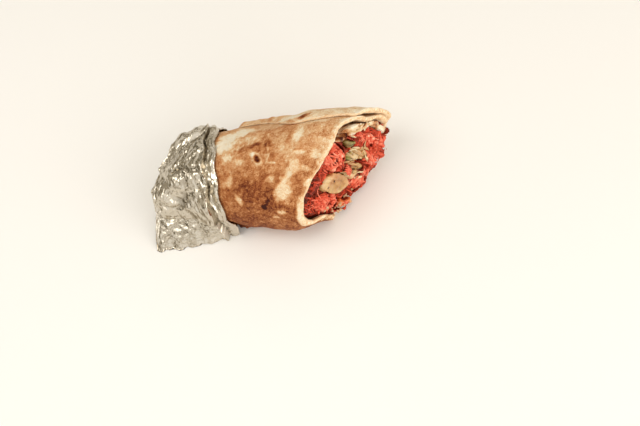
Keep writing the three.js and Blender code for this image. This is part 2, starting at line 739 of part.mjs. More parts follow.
const roll = new THREE.Group();
const bread = rolledSheet().add(tongue(0));
roll.add(mesh('naan', bread, { color: 0xb87a48, roughness: 0.75, metalness: 0 }));
roll.add(mesh('filling', fillingHeap(), { color: 0xa8382a, roughness: 0.55, metalness: 0 }));
for (const { name, color, solid } of fillingPieces()) {
  roll.add(mesh(name, solid, { color, roughness: 0.5, metalness: 0 }));
}
roll.add(mesh('foil', foilWrap(), { color: 0xc9c6bf, roughness: 0.28, metalness: 1 }));
roll.position.set(CUT_X, AXIS_Y, 0);

export default roll;
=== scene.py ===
import itertools
import json
import math

import bpy
import numpy as np
from mathutils import Matrix, Vector
from mathutils.bvhtree import BVHTree
from mathutils.geometry import delaunay_2d_cdt

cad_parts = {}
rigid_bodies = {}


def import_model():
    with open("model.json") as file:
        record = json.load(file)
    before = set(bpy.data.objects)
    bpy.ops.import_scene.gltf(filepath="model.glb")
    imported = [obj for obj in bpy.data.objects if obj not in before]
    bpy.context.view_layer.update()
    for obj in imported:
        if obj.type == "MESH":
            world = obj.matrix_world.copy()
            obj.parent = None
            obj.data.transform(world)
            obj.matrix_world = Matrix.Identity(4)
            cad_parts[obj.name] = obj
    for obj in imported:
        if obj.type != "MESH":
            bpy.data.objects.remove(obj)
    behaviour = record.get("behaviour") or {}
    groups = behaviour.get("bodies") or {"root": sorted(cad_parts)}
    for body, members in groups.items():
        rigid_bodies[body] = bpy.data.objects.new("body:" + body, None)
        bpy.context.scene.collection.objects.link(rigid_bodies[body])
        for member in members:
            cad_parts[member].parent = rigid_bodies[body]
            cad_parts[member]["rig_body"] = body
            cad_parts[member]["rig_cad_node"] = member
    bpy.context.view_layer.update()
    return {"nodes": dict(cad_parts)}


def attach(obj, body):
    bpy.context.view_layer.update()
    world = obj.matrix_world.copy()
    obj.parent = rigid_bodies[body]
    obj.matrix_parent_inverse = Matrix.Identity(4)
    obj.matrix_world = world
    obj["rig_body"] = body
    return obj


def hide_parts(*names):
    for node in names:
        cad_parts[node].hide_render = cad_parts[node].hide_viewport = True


# Half of a naan roll, cut on the slant: one flatbread rolled round a red spiced chicken filling,
# with its uncut end wrapped in kitchen foil. It lies on its side, as served.
#
# Lengths are in millimetres, in the roll's own frame: X along the roll, with x = 0 at the middle
# of the cut, Y to the back and Z up. Angles go round the roll's axis, in degrees: 0 at the back,
# 90 on top, 180 at the front and 270 underneath. Points become metres when a mesh takes them.

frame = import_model()
bpy.ops.object.select_all(action="DESELECT")

MM = 0.001
ROLL_IN_FRAME = np.array([46.4, 2.6, 0.0])

# ---- the roll's outline, as in the solids ----
CUT_HALF_WIDTH = 34.6
CLOSED_HALF_WIDTH = 20.5
FLARE = {"start": -125, "end": -8}
BEND = {"forward": 2.2, "x": -45, "length": 32}
HEIGHT_TO_WIDTH = 0.9
PRESSED_FLAT = 1.5
SQUARENESS = {"share": 0.045, "turned": 73, "start": -57, "end": -9}
FRONT_SAG = {"share": 0.05, "at": 208, "spread": 22, "start": -10, "end": -30}
CROWN = {"rise": 1.5, "at": 78, "spread": 18, "start": -40}
FLAT_BACK = {"depth": 1.8, "at": 35, "spread": 25, "x": -36, "length": 16}
CURLED_RIM = {"depth": 3.4, "at": 214, "spread": 17, "length": 9}
CHARRED_LIP = {"reach": 4.5, "at": 222, "spread": 9, "x": -63, "length": 6}
AXIS_AT_CUT = HEIGHT_TO_WIDTH * CUT_HALF_WIDTH - PRESSED_FLAT

# ---- the bread ----
SHEET = 2.8
LAYER_GAP = 0.3
WRAP_STEP = SHEET + LAYER_GAP
WRAP_TAPER = 130
FREE_EDGE = {
    "low": 33, "high": 65, "start": -52, "end": -26, "drop": 5, "over": 16, "gone": -76, "back": -62,
}
EDGE_TAPER = {"share": 0.45, "over": 9}
EDGE_PRESSED = {"share": 0.9, "start": -46, "end": -34}
GAPE = {"depth": 2.2, "start": -20, "end": 2, "opens": 20, "closes": 45}
INNER_END = -25
BREAD_LEFT = -90
BLISTER = {"rise": 0.7, "start": -70, "end": -62, "fading": 325, "gone": 345}
BREAD_GRID = {"columns": 300, "rows": 136, "edge_columns": 2, "cut_rows": 5}
CUT_ROUNDING = 0.8
FULL_TURN = {"columns": 0.88, "share": 0.805}
UNDER_FOIL = {"rows": 0.05, "part": 0.12}
# how the inner face curls away at the rim of the cut: depth, angle and spread
RIM_CURLS = [(1.0, 135, 35), (2.2, 166, 22)]
FLOURED_RIM = {"all_round": 0.16, "front": 0.34, "at": 170, "spread": 24}

# ---- the cut ----
SLANT = 0.614
LEAN = -0.08
CUT_DIP = {"depth": 3, "y": 10, "z": 62, "spread": 8}
RAGGED_CUT = 0.5
TORN_RIM = {"depth": 4.5, "start": -112, "end": -14, "soft": 16}

# ---- the inner tongue of bread, as its middle line across the cut ----
TONGUE_THICK = 2.2
TONGUE_BACK = 0.4
TONGUE_SPAN = 45
TONGUE_LENGTH = 90
TONGUE_GRID = {"columns": 120, "rows": 56, "edge_columns": 2, "cut_rows": 9}
TONGUE_FOLD = {"thick": 3.4, "at": 0.72, "spread": 0.2, "start": 0.8}
TONGUE_LINE = [
    (30.2, 18.5), (28.3, 27), (26.8, 34.5), (23.2, 41.5), (18.6, 44.4), (15, 47), (11.2, 50.4),
    (7.8, 50.8), (4.6, 54),
]

# ---- the foil ----
FOIL_THICK = 0.3
FOIL_CLEAR = 1.1
FOIL_COLLAR = {"x": -73.3, "swing": 4.4, "turned": 15}
FOIL_END = {"x": -107, "slope": 0.19}
FOIL_CLOSING = {"share": 0.35, "start": -92, "end": -110, "toward": 60}
FOIL_LIFT = 0.95
LIFT_RAMP = {"start": -68, "end": -61}
HEM = {"wide": 5.5, "rise": 1.3}
APRON = {"near": -28, "far": -40, "start": -72, "end": -102, "top": 188, "right": -65}
APRON_HUG = {"length": 10, "start": 5, "end": 22}
CREASE_COUNT = 6
CREASE_SPACING = {"widest": 30, "closest": 9}
CREASE_STEEPNESS = 0.075
FOIL_POLE = (-106.5, -3, 25)
# two folds that stand up at the back of the foil: their rise, angle and spread, then x and length
EARS = {"rise": 3.4, "at": 44, "spread": 11}
EAR_PLACES = [(-81, 3), (-101, 4)]
# how much further the folds' pattern runs on, over the closed end
CLOSED_END_REACH = 24
# the foil over the lap of the bread: how gently it comes down past the free edge, and the angles
# underneath between which it rises to the lap
COVERED_EDGE = {"over": 28, "start": -150, "end": -60}


def mix(a, b, t):
    return a + (b - a) * t


def smooth(start, end, value):
    t = np.clip((value - start) / (end - start), 0, 1)
    return t * t * (3 - 2 * t)


def bump(value, spread):
    return np.exp(-((value / spread) ** 2))


def cos(degrees):
    return np.cos(np.radians(degrees))


def sin(degrees):
    return np.sin(np.radians(degrees))


def turn(angle, start):
    """The signed turn from one angle to another, -180 to 180."""
    return (angle - start + 180) % 360 - 180


def clamp(value):
    return np.clip(value, 0, 1)


def span(edges, value):
    """1 between the two inner edges of a span, fading to 0 at its outer two."""
    return smooth(edges[0], edges[1], value) * (1 - smooth(edges[2], edges[3], value))


def ramp(zone, value):
    """From 0 at the start of a zone to 1 at its end."""
    return smooth(zone["start"], zone["end"], value)


def around_at(zone, angle):
    """1 at a zone's angle, fading to 0 on both sides."""
    return bump(turn(angle, zone["at"]), zone["spread"])


def along_at(zone, x):
    """1 at a zone's x, fading to 0 on both sides."""
    return bump(x - zone["x"], zone["length"])


def turned(p, q, way):
    """Two coordinates, measured along a direction way degrees from the first, and across it."""
    return p * cos(way) + q * sin(way), q * cos(way) - p * sin(way)


# ---- chance, always the same ----

def scramble(numbers):
    """Whole numbers to even random values from 0 to 1."""
    numbers = numbers.astype(np.uint64)
    numbers = (numbers ^ (numbers >> np.uint64(33))) * np.uint64(0xFF51AFD7ED558CCD)
    numbers = (numbers ^ (numbers >> np.uint64(33))) * np.uint64(0xC4CEB9FE1A85EC53)
    numbers = numbers ^ (numbers >> np.uint64(33))
    return (numbers >> np.uint64(11)).astype(float) / 2**53


def lumps(points, size, seed):
    """Smooth random values from -1 to 1 over space, with lumps about size mm apart."""
    cell = points / size + 37.7 * (seed + 1) + 1000
    base = np.floor(cell)
    part = cell - base
    part = part * part * (3 - 2 * part)
    base = base.astype(np.uint64)
    total = 0
    for corner in itertools.product((0, 1), repeat=3):
        spot = base + np.array(corner, np.uint64)
        key = spot[..., 0] * np.uint64(73856093)
        key = key ^ (spot[..., 1] * np.uint64(19349663)) ^ (spot[..., 2] * np.uint64(83492791))
        weight = np.prod(np.where(corner, part, 1 - part), axis=-1)
        total = total + weight * scramble(key)
    return 2 * total - 1


def ridges(points, size, seed):
    """From 0 in the furrows to 1 on sharp crests about size mm apart."""
    return 1 - np.abs(lumps(points, size, seed)) * 2.2


def on_surface(x, around):
    """Points of the unrolled surface, for patterns that shouldn't know the roll's thickness."""
    return np.stack([x, around, np.zeros_like(x)], -1)


# ---- the form that bread, filling and foil share ----

def half_width(x):
    return mix(CLOSED_HALF_WIDTH, CUT_HALF_WIDTH, ramp(FLARE, x))


def axis_y(x):
    return -BEND["forward"] * along_at(BEND, x)


def axis_height(x):
    return HEIGHT_TO_WIDTH * half_width(x) - PRESSED_FLAT


def roll_radius(angle, x):
    """From the axis to the outside of the bread's first full turn."""
    width = half_width(x)
    ellipse = 1 / np.hypot(cos(angle) / width, sin(angle) / (HEIGHT_TO_WIDTH * width))
    square = SQUARENESS["share"] * cos(4 * (angle - SQUARENESS["turned"])) * ramp(SQUARENESS, x)
    sag = FRONT_SAG["share"] * around_at(FRONT_SAG, angle) * ramp(FRONT_SAG, x)
    crown = CROWN["rise"] * around_at(CROWN, angle) * smooth(CROWN["start"], 0, x)
    dent = FLAT_BACK["depth"] * around_at(FLAT_BACK, angle) * along_at(FLAT_BACK, x)
    return ellipse * (1 + square + sag) + crown - dent - curled_rim(angle, x, ellipse)


def curled_rim(angle, x, radius):
    """Low on the front the rim of the cut curls in over the filling."""
    to_cut = x - cut_x(radius * cos(angle), axis_height(x) + radius * sin(angle))
    near_cut = smooth(-CURLED_RIM["length"], 0, to_cut)
    return CURLED_RIM["depth"] * around_at(CURLED_RIM, angle) * near_cut


def charred_lip(angle, x):
    """How far the charred lip of the bread stands out, low on the front beside the foil."""
    return CHARRED_LIP["reach"] * around_at(CHARRED_LIP, angle) * along_at(CHARRED_LIP, x)


def free_edge_angle(x):
    risen = mix(FREE_EDGE["low"], FREE_EDGE["high"], ramp(FREE_EDGE, x))
    shown = smooth(FREE_EDGE["gone"], FREE_EDGE["back"], x)
    return risen * shown - FREE_EDGE["drop"] * smooth(-FREE_EDGE["over"], 0, x)


def layer_offset(along, x):
    """How far a turn stands off the first one, after so many degrees along the sheet; at the cut
    the two turns gape a little below the free edge."""
    outer_turn = WRAP_STEP * (1 - smooth(0, WRAP_TAPER, along % 360))
    gape = span((0, GAPE["opens"], GAPE["opens"], GAPE["closes"]), along - 360)
    inner_turn = outer_turn - WRAP_STEP - GAPE["depth"] * gape * ramp(GAPE, x)
    return np.where(along < 360, outer_turn, inner_turn)


def bread_floor(x):
    """The underside of the bread: on the table, but lifted where the foil runs below it."""
    return FOIL_LIFT * (1 - ramp(LIFT_RAMP, x))


def on_roll(radius, angle, x, floor):
    """Points so far from the roll's axis at these angles, none of them below the floor."""
    y = axis_y(x) + radius * cos(angle)
    z = axis_height(x) + radius * sin(angle)
    return np.stack([x, y, np.maximum(z, floor)], -1)


def cut_x(y, z):
    """Where the slanted cut is, with the dip in it high at the back."""
    dip = CUT_DIP["depth"] * bump(np.hypot(y - CUT_DIP["y"], z - CUT_DIP["z"]), CUT_DIP["spread"])
    return SLANT * y + LEAN * (z - AXIS_AT_CUT) - dip


# ---- modelling ----

def only(piece):
    """Selects this piece alone, for the operator that comes next."""
    bpy.ops.object.select_all(action="DESELECT")
    piece.select_set(True)
    bpy.context.view_layer.objects.active = piece


def vectors(piece, kind):
    """The place, "co", or the "normal" of every vertex."""
    flat = np.zeros(3 * len(piece.data.vertices))
    piece.data.vertices.foreach_get(kind, flat)
    return flat.reshape(-1, 3)


def points_of(piece):
    return vectors(piece, "co") / MM - ROLL_IN_FRAME


def place(piece, points):
    """Puts the piece's vertices at points of the roll's own frame."""
    piece.data.vertices.foreach_set("co", ((points + ROLL_IN_FRAME) * MM).ravel())
    piece.data.update()


def note(piece, name, values):
    """Keeps a value on each vertex for the piece's material."""
    attribute = piece.data.attributes.new(name, "FLOAT", "POINT")
    values = np.broadcast_to(values, len(piece.data.vertices))
    attribute.data.foreach_set("value", values.astype(np.float32))


def flat_grid(name, columns, rows):
    """A grid piece, with the column and row of each of its vertices."""
    bpy.ops.mesh.primitive_grid_add(x_subdivisions=columns, y_subdivisions=rows, size=1)
    piece = bpy.context.object
    piece.name = name
    spots = vectors(piece, "co") + 0.5
    return piece, np.round(spots[:, 0] * columns), np.round(spots[:, 1] * rows)


def bordered_grid(name, columns, rows, edge_columns, cut_rows):
    """A grid for one face of a sheet. Each vertex comes with its share of the way across the sheet
    and to the cut, and with how far it is from the sides, from the cut and from every border."""
    face, column, row = flat_grid(name, columns, rows)
    lengthwise = clamp((column - edge_columns) / (columns - 2 * edge_columns))
    to_cut = clamp((row - 1) / (rows - 1 - cut_rows))
    from_sides = clamp(np.minimum(column, columns - column) / edge_columns)
    from_cut = clamp((rows - row) / cut_rows)
    from_border = np.minimum(np.minimum(from_sides, from_cut), clamp(row))
    return face, lengthwise, to_cut, from_sides, from_cut, from_border


def mend(piece, weld=0):
    """Merges points that lie within weld mm of each other and turns every face outwards."""
    only(piece)
    bpy.ops.object.mode_set(mode="EDIT")
    bpy.ops.mesh.select_all(action="SELECT")
    if weld:
        bpy.ops.mesh.remove_doubles(threshold=weld * MM)
    bpy.ops.mesh.normals_make_consistent(inside=False)
    bpy.ops.object.mode_set(mode="OBJECT")


def join(pieces, name, weld=0.002):
    """Joins pieces into one, merging the points that they share."""
    only(pieces[0])
    for piece in pieces:
        piece.select_set(True)
    bpy.ops.object.join()
    pieces[0].name = name
    mend(pieces[0], weld)
    return pieces[0]


def apply_modifier(piece, kind, **settings):
    only(piece)
    modifier = piece.modifiers.new(kind, kind)
    for name, value in settings.items():
        setattr(modifier, name, value)
    bpy.ops.object.modifier_apply(modifier=modifier.name)


def shade(piece, angle=None):
    only(piece)
    if angle is None:
        bpy.ops.object.shade_smooth()
    else:
        bpy.ops.object.shade_smooth_by_angle(angle=math.radians(angle))


def from_node(name, voxel, softening):
    """A copy of a solid, welded, remeshed finely enough to carve and softened, with its points and
    normals."""
    piece = frame["nodes"][name].copy()
    piece.data = piece.data.copy()
    piece.parent = None
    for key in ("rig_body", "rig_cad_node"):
        if key in piece:
            del piece[key]
    bpy.context.scene.collection.objects.link(piece)
    piece.data.materials.clear()
    join([piece], name + "_form", weld=0.02)
    apply_modifier(piece, "REMESH", mode="VOXEL", voxel_size=voxel * MM, use_smooth_shade=True)
    apply_modifier(piece, "SMOOTH", factor=0.5, iterations=softening)
    return piece, points_of(piece), vectors(piece, "normal")


def ball(rings, segments):
    """A small round model, with its vertices as directions from its middle."""
    bpy.ops.mesh.primitive_uv_sphere_add(segments=segments, ring_count=rings, radius=1)
    return bpy.context.object, vectors(bpy.context.object, "co")


def copies(name, model, point_sets, tones):
    """One piece from many copies of a small model, each with its own points and its own tone."""
    count = len(model.data.vertices)
    faces = []
    for i in range(len(point_sets)):
        faces += [tuple(v + i * count for v in polygon.vertices) for polygon in model.data.polygons]
    mesh = bpy.data.meshes.new(name)
    points = (np.concatenate(point_sets) + ROLL_IN_FRAME) * MM
    mesh.from_pydata(points.tolist(), [], faces)
    piece = bpy.data.objects.new(name, mesh)
    bpy.context.scene.collection.objects.link(piece)
    mend(piece)
    note(piece, "tone", np.repeat(tones, count))
    bpy.data.objects.remove(model)
    return piece


# ---- finishes ----

def paint(code):
    """An sRGB hex colour as the linear one that a shader takes."""
    channels = [int(code[i:i + 2], 16) / 255 for i in (1, 3, 5)]
    linear = [c / 12.92 if c <= 0.04045 else ((c + 0.055) / 1.055) ** 2.4 for c in channels]
    return (*linear, 1)


def per(size):
    """The scale of a pattern whose features are so many millimetres apart."""
    return 1 / (size * MM)


def feed(tree, node, feeds):
    """Sets a node's inputs to values, or links them to sockets or to what other nodes give."""
    for key, value in feeds.items():
        if isinstance(value, bpy.types.Node):
            value = next(output for output in value.outputs if output.enabled)
        if isinstance(value, bpy.types.NodeSocket):
            tree.links.new(value, node.inputs[key])
        else:
            node.inputs[key].default_value = value


def add(tree, kind, feeds=None, stops=None, **settings):
    """Adds a node with its settings, the values or links of its inputs, and its colour stops."""
    made = tree.nodes.new(kind)
    for name, value in settings.items():
        setattr(made, name, value)
    feed(tree, made, feeds or {})
    if stops:
        elements = made.color_ramp.elements
        elements.remove(elements[1])
        elements[0].position, elements[0].color = stops[0][0], paint(stops[0][1])
        for position, code in stops[1:]:
            elements.new(position).color = paint(code)
    return made


def new_material(name, **principled):
    """A material, its tree, its Principled shader and the object's own coordinates."""
    material = bpy.data.materials.new(name)
    material.use_nodes = True
    tree = material.node_tree
    shader = tree.nodes["Principled BSDF"]
    feed(tree, shader, {key.replace("_", " "): value for key, value in principled.items()})
    return material, tree, shader, add(tree, "ShaderNodeTexCoord").outputs["Object"]


# ---- griddled flatbread ----

# the pale patches that the griddle never touched: x, angle, half length, half breadth, the way
# the length runs (0 along the roll, 90 round it), and how pale
PALE_PATCHES = [
    (-69.5, 72, 6.5, 7.5, 20, 0.9), (-61.5, 58, 8, 4.6, -10, 0.9), (-70, 80, 4.5, 5, 0, 0.7),
    (-24.4, 83, 3.0, 3.2, 0, 0.7), (-25.6, 117, 5.8, 3.1, 108, 0.46), (-28, 128, 3.6, 2.6, 112, 0.34),
    (-30.4, 139.5, 7.8, 4.9, 116, 0.58), (-13.1, 105, 3.1, 2.6, 20, 0.5), (-50.6, 98, 2.2, 1.5, 30, 0.4),
    (-66.6, 99, 2.4, 3.0, 0, 0.42), (-58.2, 106, 2.8, 1.9, 0, 0.22), (-39.2, 128, 2.8, 2.1, 0, 0.24),
    (-63.7, 130, 3.6, 1.9, 100, 0.3), (-58.2, 152, 3.4, 2.0, 60, 0.34), (-32.5, 163, 3.4, 1.7, 5, 0.52),
    (-22.4, 101, 4.4, 1.0, 4, 0.42), (-18.3, 119, 3.2, 1.8, 30, 0.34), (-16.1, 133, 2.8, 2.4, 0, 0.4),
    (-30.4, 53, 7.5, 2.0, 6, 0.55), (-13, 66, 6, 1.5, 10, 0.4), (-8, 92, 4, 2, 30, 0.25),
    (-36.8, 171, 2.6, 0.7, 0, 0.4),
]
# where it touched longest, the same way
BROWN_PATCHES = [
    (-63, 93, 5, 1.6, -8, 0.13), (-55, 88, 7, 2.0, -8, 0.16), (-46, 86, 6.5, 2.4, 0, 0.16),
    (-41.6, 91, 4.6, 2.4, 80, 0.15), (-51, 97, 8, 5, 0, 0.08), (-37.5, 99, 2.4, 3.2, 80, 0.05),
    (-41, 151, 6.5, 4.5, 20, 0.08), (-20, 60, 6, 1.8, 0, 0.12), (-37, 45, 5, 1.6, 0, 0.14),
    (-55, 41, 5, 1.6, 0, 0.16), (-60, 120, 7, 4, 70, 0.06), (-52, 140, 8, 5, 60, 0.05),
]
# where it is scorched, the same way
BURNT_PATCHES = [
    (-43.2, 158, 1.7, 1.3, 20, 0.42), (-41, 153, 3.4, 0.8, 125, 0.2), (-65.5, 58, 3.4, 0.9, -15, 0.25),
    (-22, 58, 4.6, 2.0, -25, 0.36), (-12, 46, 6, 1.3, 0, 0.36), (4, 49, 7, 0.9, 0, 0.3),
    (-30, 62, 3, 1.2, 30, 0.2),
]
# small scorched dots: x, angle, radius, strength
SCORCHED_DOTS = [
    (-22.2, 172, 0.8, 0.35), (-18.8, 175, 0.6, 0.35), (-20.6, 171, 0.5, 0.25), (-33, 161, 0.5, 0.3),
    (-27.5, 128, 0.45, 0.3), (-65.4, 103, 0.5, 0.35), (-29.6, 162, 0.5, 0.35), (-25, 177, 0.5, 0.3),
]
CRATER = {"x": -47.4, "angle": 103.5, "way": 53, "long": 1.9, "pit": 1.15, "ring": 2.1, "deep": 1.0}
# pale raised cracks in the crust: x, angle, length, way
CRACKS = [(-41.2, 94, 4.6, 80), (-40.6, 104, 3.6, 110), (-38.2, 110, 3.4, 10)]
CRACK_BREADTH = 0.55
# marks for the sides away from these: how many, and the ranges of their x, half length, breadth
# over length, and strength
MORE_PALE = (30, (-72, 8), (1.6, 5.5), (0.45, 0.9), (0.25, 0.62))
MORE_BROWN = (26, (-66, 8), (1.2, 5), (0.35, 0.8), (0.08, 0.3))
MORE_ANGLES = (-140, 28)
# the roll's radius as the patterns of the crust take it, for their length round the roll
MARKED_RADIUS = 30
# the angles where its underside begins, and the spans of its front and of the low part of that
UNDERSIDE = (235, 262)
FRONT = (88, 130, *UNDERSIDE)
LOW_FRONT = (125, 175, *UNDERSIDE)
PALER_AT_CUT = {"share": 0.05, "start": -34, "end": -14}
# the strip along the free edge, by degrees along the sheet and by x, and its bubbled border
EDGE_STRIP = {"inside": 26, "outside": 48, "start": -46, "end": -34}
BUBBLED_EDGE = {"rise": 0.45, "inside": 10, "outside": 22}
BROWNING = {"back": 0.43, "front": 0.62, "low_front": 0.09, "strip": 0.21, "griddled": 0.8, "pit": 0.94}


def from_mark(x, angle, mark_x, mark_angle, way):
    """How far each point lies from the middle of a mark, lengthwise and crosswise."""
    around = np.radians(turn(angle, mark_angle)) * roll_radius(mark_angle, mark_x)
    return turned(x - mark_x, around, way)


def inside_mark(x, angle, mark, rough):
    """How far inside a mark each point is: 1 inside, 0 well outside, with an uneven edge."""
    mark_x, mark_angle, long, wide, way = mark[:5]
    lengthwise, crosswise = from_mark(x, angle, mark_x, mark_angle, way)
    return 1 - smooth(0.55, 1.25, np.hypot(lengthwise / long, crosswise / wide) + rough)


def more_marks(rng, count, places, sizes, breadths, strengths):
    """Marks of the same kinds for the sides away from the measured ones."""
    marks = []
    for _ in range(count):
        size = rng.uniform(*sizes)
        mark_x = rng.uniform(*places)
        mark_angle = rng.uniform(*MORE_ANGLES)
        breadth = size * rng.uniform(*breadths)
        way = rng.uniform(0, 180)
        marks.append((mark_x, mark_angle, size, breadth, way, rng.uniform(*strengths)))
    return marks


def crust(x, angle, along):
    """The outer crust: how far it stands out, in mm, and how brown it is, from 0 pale to 1 burnt."""
    around = np.radians(turn(angle, 90)) * MARKED_RADIUS
    flat = on_surface(x, around)
    rough = 0.34 * lumps(flat, 3.4, 1) + 0.2 * lumps(flat, 1.5, 2)
    broad, middling = lumps(flat, 11, 3), lumps(flat, 5, 4)
    small, fine = lumps(flat, 2.2, 5), lumps(flat, 1.1, 6)
    # darker towards the front of the roll, and darker still low on the front
    brown = mix(BROWNING["back"], BROWNING["front"], span(FRONT, angle))
    brown = brown + BROWNING["low_front"] * span(LOW_FRONT, angle)
    brown = brown - PALER_AT_CUT["share"] * ramp(PALER_AT_CUT, x - 0.2 * around)
    brown = brown + 0.1 * broad + 0.12 * middling + 0.1 * small + 0.08 * fine
    height = 0.16 * lumps(flat, 6.5, 7) + 0.14 * middling + 0.1 * small + 0.06 * fine
    bubbled = 1 - smooth(BUBBLED_EDGE["inside"], BUBBLED_EDGE["outside"], along)
    height = height + BUBBLED_EDGE["rise"] * lumps(flat, 2.8, 8) * bubbled
    strip = (1 - smooth(EDGE_STRIP["inside"], EDGE_STRIP["outside"], along)) * ramp(EDGE_STRIP, x)
    brown = mix(brown, BROWNING["strip"] + 0.15 * middling + 0.1 * small, 0.85 * strip)

    rng = np.random.default_rng(5)
    more_pale = more_marks(rng, *MORE_PALE)
    more_brown = more_marks(rng, *MORE_BROWN)
    for mark in BROWN_PATCHES + more_brown:
        inside = inside_mark(x, angle, mark, rough)
        brown = brown + mark[5] * inside
        height = height + 0.15 * inside
    brown = np.minimum(brown, BROWNING["griddled"])
    for mark in BURNT_PATCHES:
        brown = brown + mark[5] * inside_mark(x, angle, mark, rough)
    freckled = clamp(1 + 0.2 * small + 0.2 * fine)
    for mark in PALE_PATCHES + more_pale:
        inside = inside_mark(x, angle, mark, rough) * freckled
        brown = mix(brown, brown * (1 - mark[5]) * 0.75, inside)
        height = height - 0.22 * inside
    for dot_x, dot_angle, radius, strength in SCORCHED_DOTS:
        dot = (dot_x, dot_angle, radius, radius, 0)
        brown = brown + strength * inside_mark(x, angle, dot, rough * 0.5)
    for crack_x, crack_angle, length, way in CRACKS:
        crack = (crack_x, crack_angle, length, CRACK_BREADTH, way)
        inside = inside_mark(x, angle, crack, rough * 0.6)
        brown = brown - 0.26 * inside
        height = height + 0.25 * inside
    return burst_blister(x, angle, rough * 0.6, height, brown)


def burst_blister(x, angle, rough, height, brown):
    """A blister on the top that burst: a long dark pit with a pale raised edge."""
    lengthwise, crosswise = from_mark(x, angle, CRATER["x"], CRATER["angle"], CRATER["way"])
    across = np.hypot(lengthwise / CRATER["long"], crosswise) + 0.5 * rough
    ring = bump(across - CRATER["ring"], 0.55)
    pit = 1 - smooth(CRATER["pit"] * 0.7, CRATER["pit"] * 1.3, across)
    brown = mix(brown - 0.38 * ring, BROWNING["pit"], pit)
    return height + 0.5 * ring - CRATER["deep"] * pit, brown


def blisters(angle, x, along):
    """The low blisters that the solid has: none under the foil or under the overlap."""
    wave = sin(3.1 * angle + np.degrees(x / 6.3)) * sin(2.3 * angle - np.degrees(x / 8.9 - 1.4))
    fine = 0.5 * sin(6.7 * angle - np.degrees(x / 3.7)) * sin(np.degrees(x / 4.9) + 4.1 * angle)
    shown = ramp(BLISTER, x) * (1 - smooth(BLISTER["fading"], BLISTER["gone"], along))
    return BLISTER["rise"] * np.maximum(0, wave + fine) * shown


def torn_rim(angle):
    """The rim under the back of the filling is torn short, and the filling hangs over it."""
    start, end, soft = TORN_RIM["start"], TORN_RIM["end"], TORN_RIM["soft"]
    return TORN_RIM["depth"] * span((start - soft, start, end, end + soft), turn(angle, 0))


def sheet_at(share, x, inward, relief):
    """Points of the rolled sheet, share of the way along it and inward mm below its outer face."""
    along = (free_edge_angle(x) - INNER_END + 360) * share
    angle = free_edge_angle(x) - along
    pressed = mix(EDGE_PRESSED["share"], EDGE_TAPER["share"], ramp(EDGE_PRESSED, x))
    thinned = pressed * SHEET * smooth(EDGE_TAPER["over"], 0, along)
    shown = (charred_lip(angle, x) - thinned) * (1 - inward / SHEET)
    radius = roll_radius(angle, x) + layer_offset(along, x) - inward + shown + relief
    return on_roll(radius, angle, x, bread_floor(x) + inward), angle, along


def sheet_face(name, inner):
    """One face of the sheet; both faces turn in at their borders and meet at half depth."""
    face, lengthwise, to_cut, from_sides, from_cut, from_border = bordered_grid(name, **BREAD_GRID)
    first = lengthwise / FULL_TURN["columns"] * FULL_TURN["share"]
    rest = (lengthwise - FULL_TURN["columns"]) / (1 - FULL_TURN["columns"])
    share = np.where(lengthwise < FULL_TURN["columns"], first, mix(FULL_TURN["share"], 1, rest))
    hidden = to_cut / UNDER_FOIL["rows"] * UNDER_FOIL["part"]
    shown = mix(UNDER_FOIL["part"], 1, (to_cut - UNDER_FOIL["rows"]) / (1 - UNDER_FOIL["rows"]))
    part = np.where(to_cut < UNDER_FOIL["rows"], hidden, shown)
    inward = mix(SHEET / 2, SHEET if inner else 0, from_border)

    # where the cut is depends on the place round the roll and the other way round, so both are
    # found step by step
    x = np.zeros_like(share)
    for _ in range(25):
        points, angle, along = sheet_at(share, x, inward, 0)
        ragged = RAGGED_CUT * sin(5 * angle) * cos(11 * angle)
        x = cut_x(points[:, 1], points[:, 2]) - torn_rim(angle) + ragged
    torn = lumps(points, 2.6, 10) * 0.45 + lumps(points, 1.3, 11) * 0.3 + lumps(points, 0.8, 12) * 0.2
    rounded = CUT_ROUNDING * from_cut ** 2
    x = mix(BREAD_LEFT, x, part) + (torn * (1 - 0.5 * from_cut) - rounded) * smooth(0.95, 1, part)

    points, angle, along = sheet_at(share, x, inward, 0)
    height, brown = crust(x, angle % 360, along)
    uneven = 0.4 * lumps(points, 4.2, 16) * smooth(0.86, 1, part)
    if inner:
        soft = lumps(points, 3, 13) * 0.12 + lumps(points, 1.4, 14) * 0.08
        curl = sum(depth * bump(turn(angle, at), spread) for depth, at, spread in RIM_CURLS)
        relief = from_border * (uneven - 0.2 * ridges(points, 2.4, 15) - curl * smooth(0.93, 1, part))
        brown = 0.3 + soft
    else:
        lip_near = smooth(0.3, 2.5, charred_lip(angle, x))
        rugged = lip_near * (1.5 * lumps(points, 2.1, 9) + 0.6 * lumps(points, 1.1, 8) - 0.3)
        relief = (blisters(angle, x, along) + height + rugged + 0.5 * uneven) * from_border
        brown = mix(brown, 0.9 + 0.16 * lumps(points, 1.8, 10), lip_near)
        darkened = 0.16 * smooth(0.965, 0.99, part) * lumps(points, 3.4, 17)
        floury = FLOURED_RIM["all_round"] + FLOURED_RIM["front"] * around_at(FLOURED_RIM, angle)
        floury = floury * smooth(0.955, 0.995, part)
        brown = brown + darkened - floury
        relief = np.where(x < collar_x(angle) - 0.5, np.minimum(relief, 0.3), relief)
    points = sheet_at(share, x, inward, relief)[0]
    place(face, points)
    note(face, "brown", brown)
    note(face, "crumb", clamp(1.25 - 1.35 * np.minimum(from_sides, from_cut)))
    return face


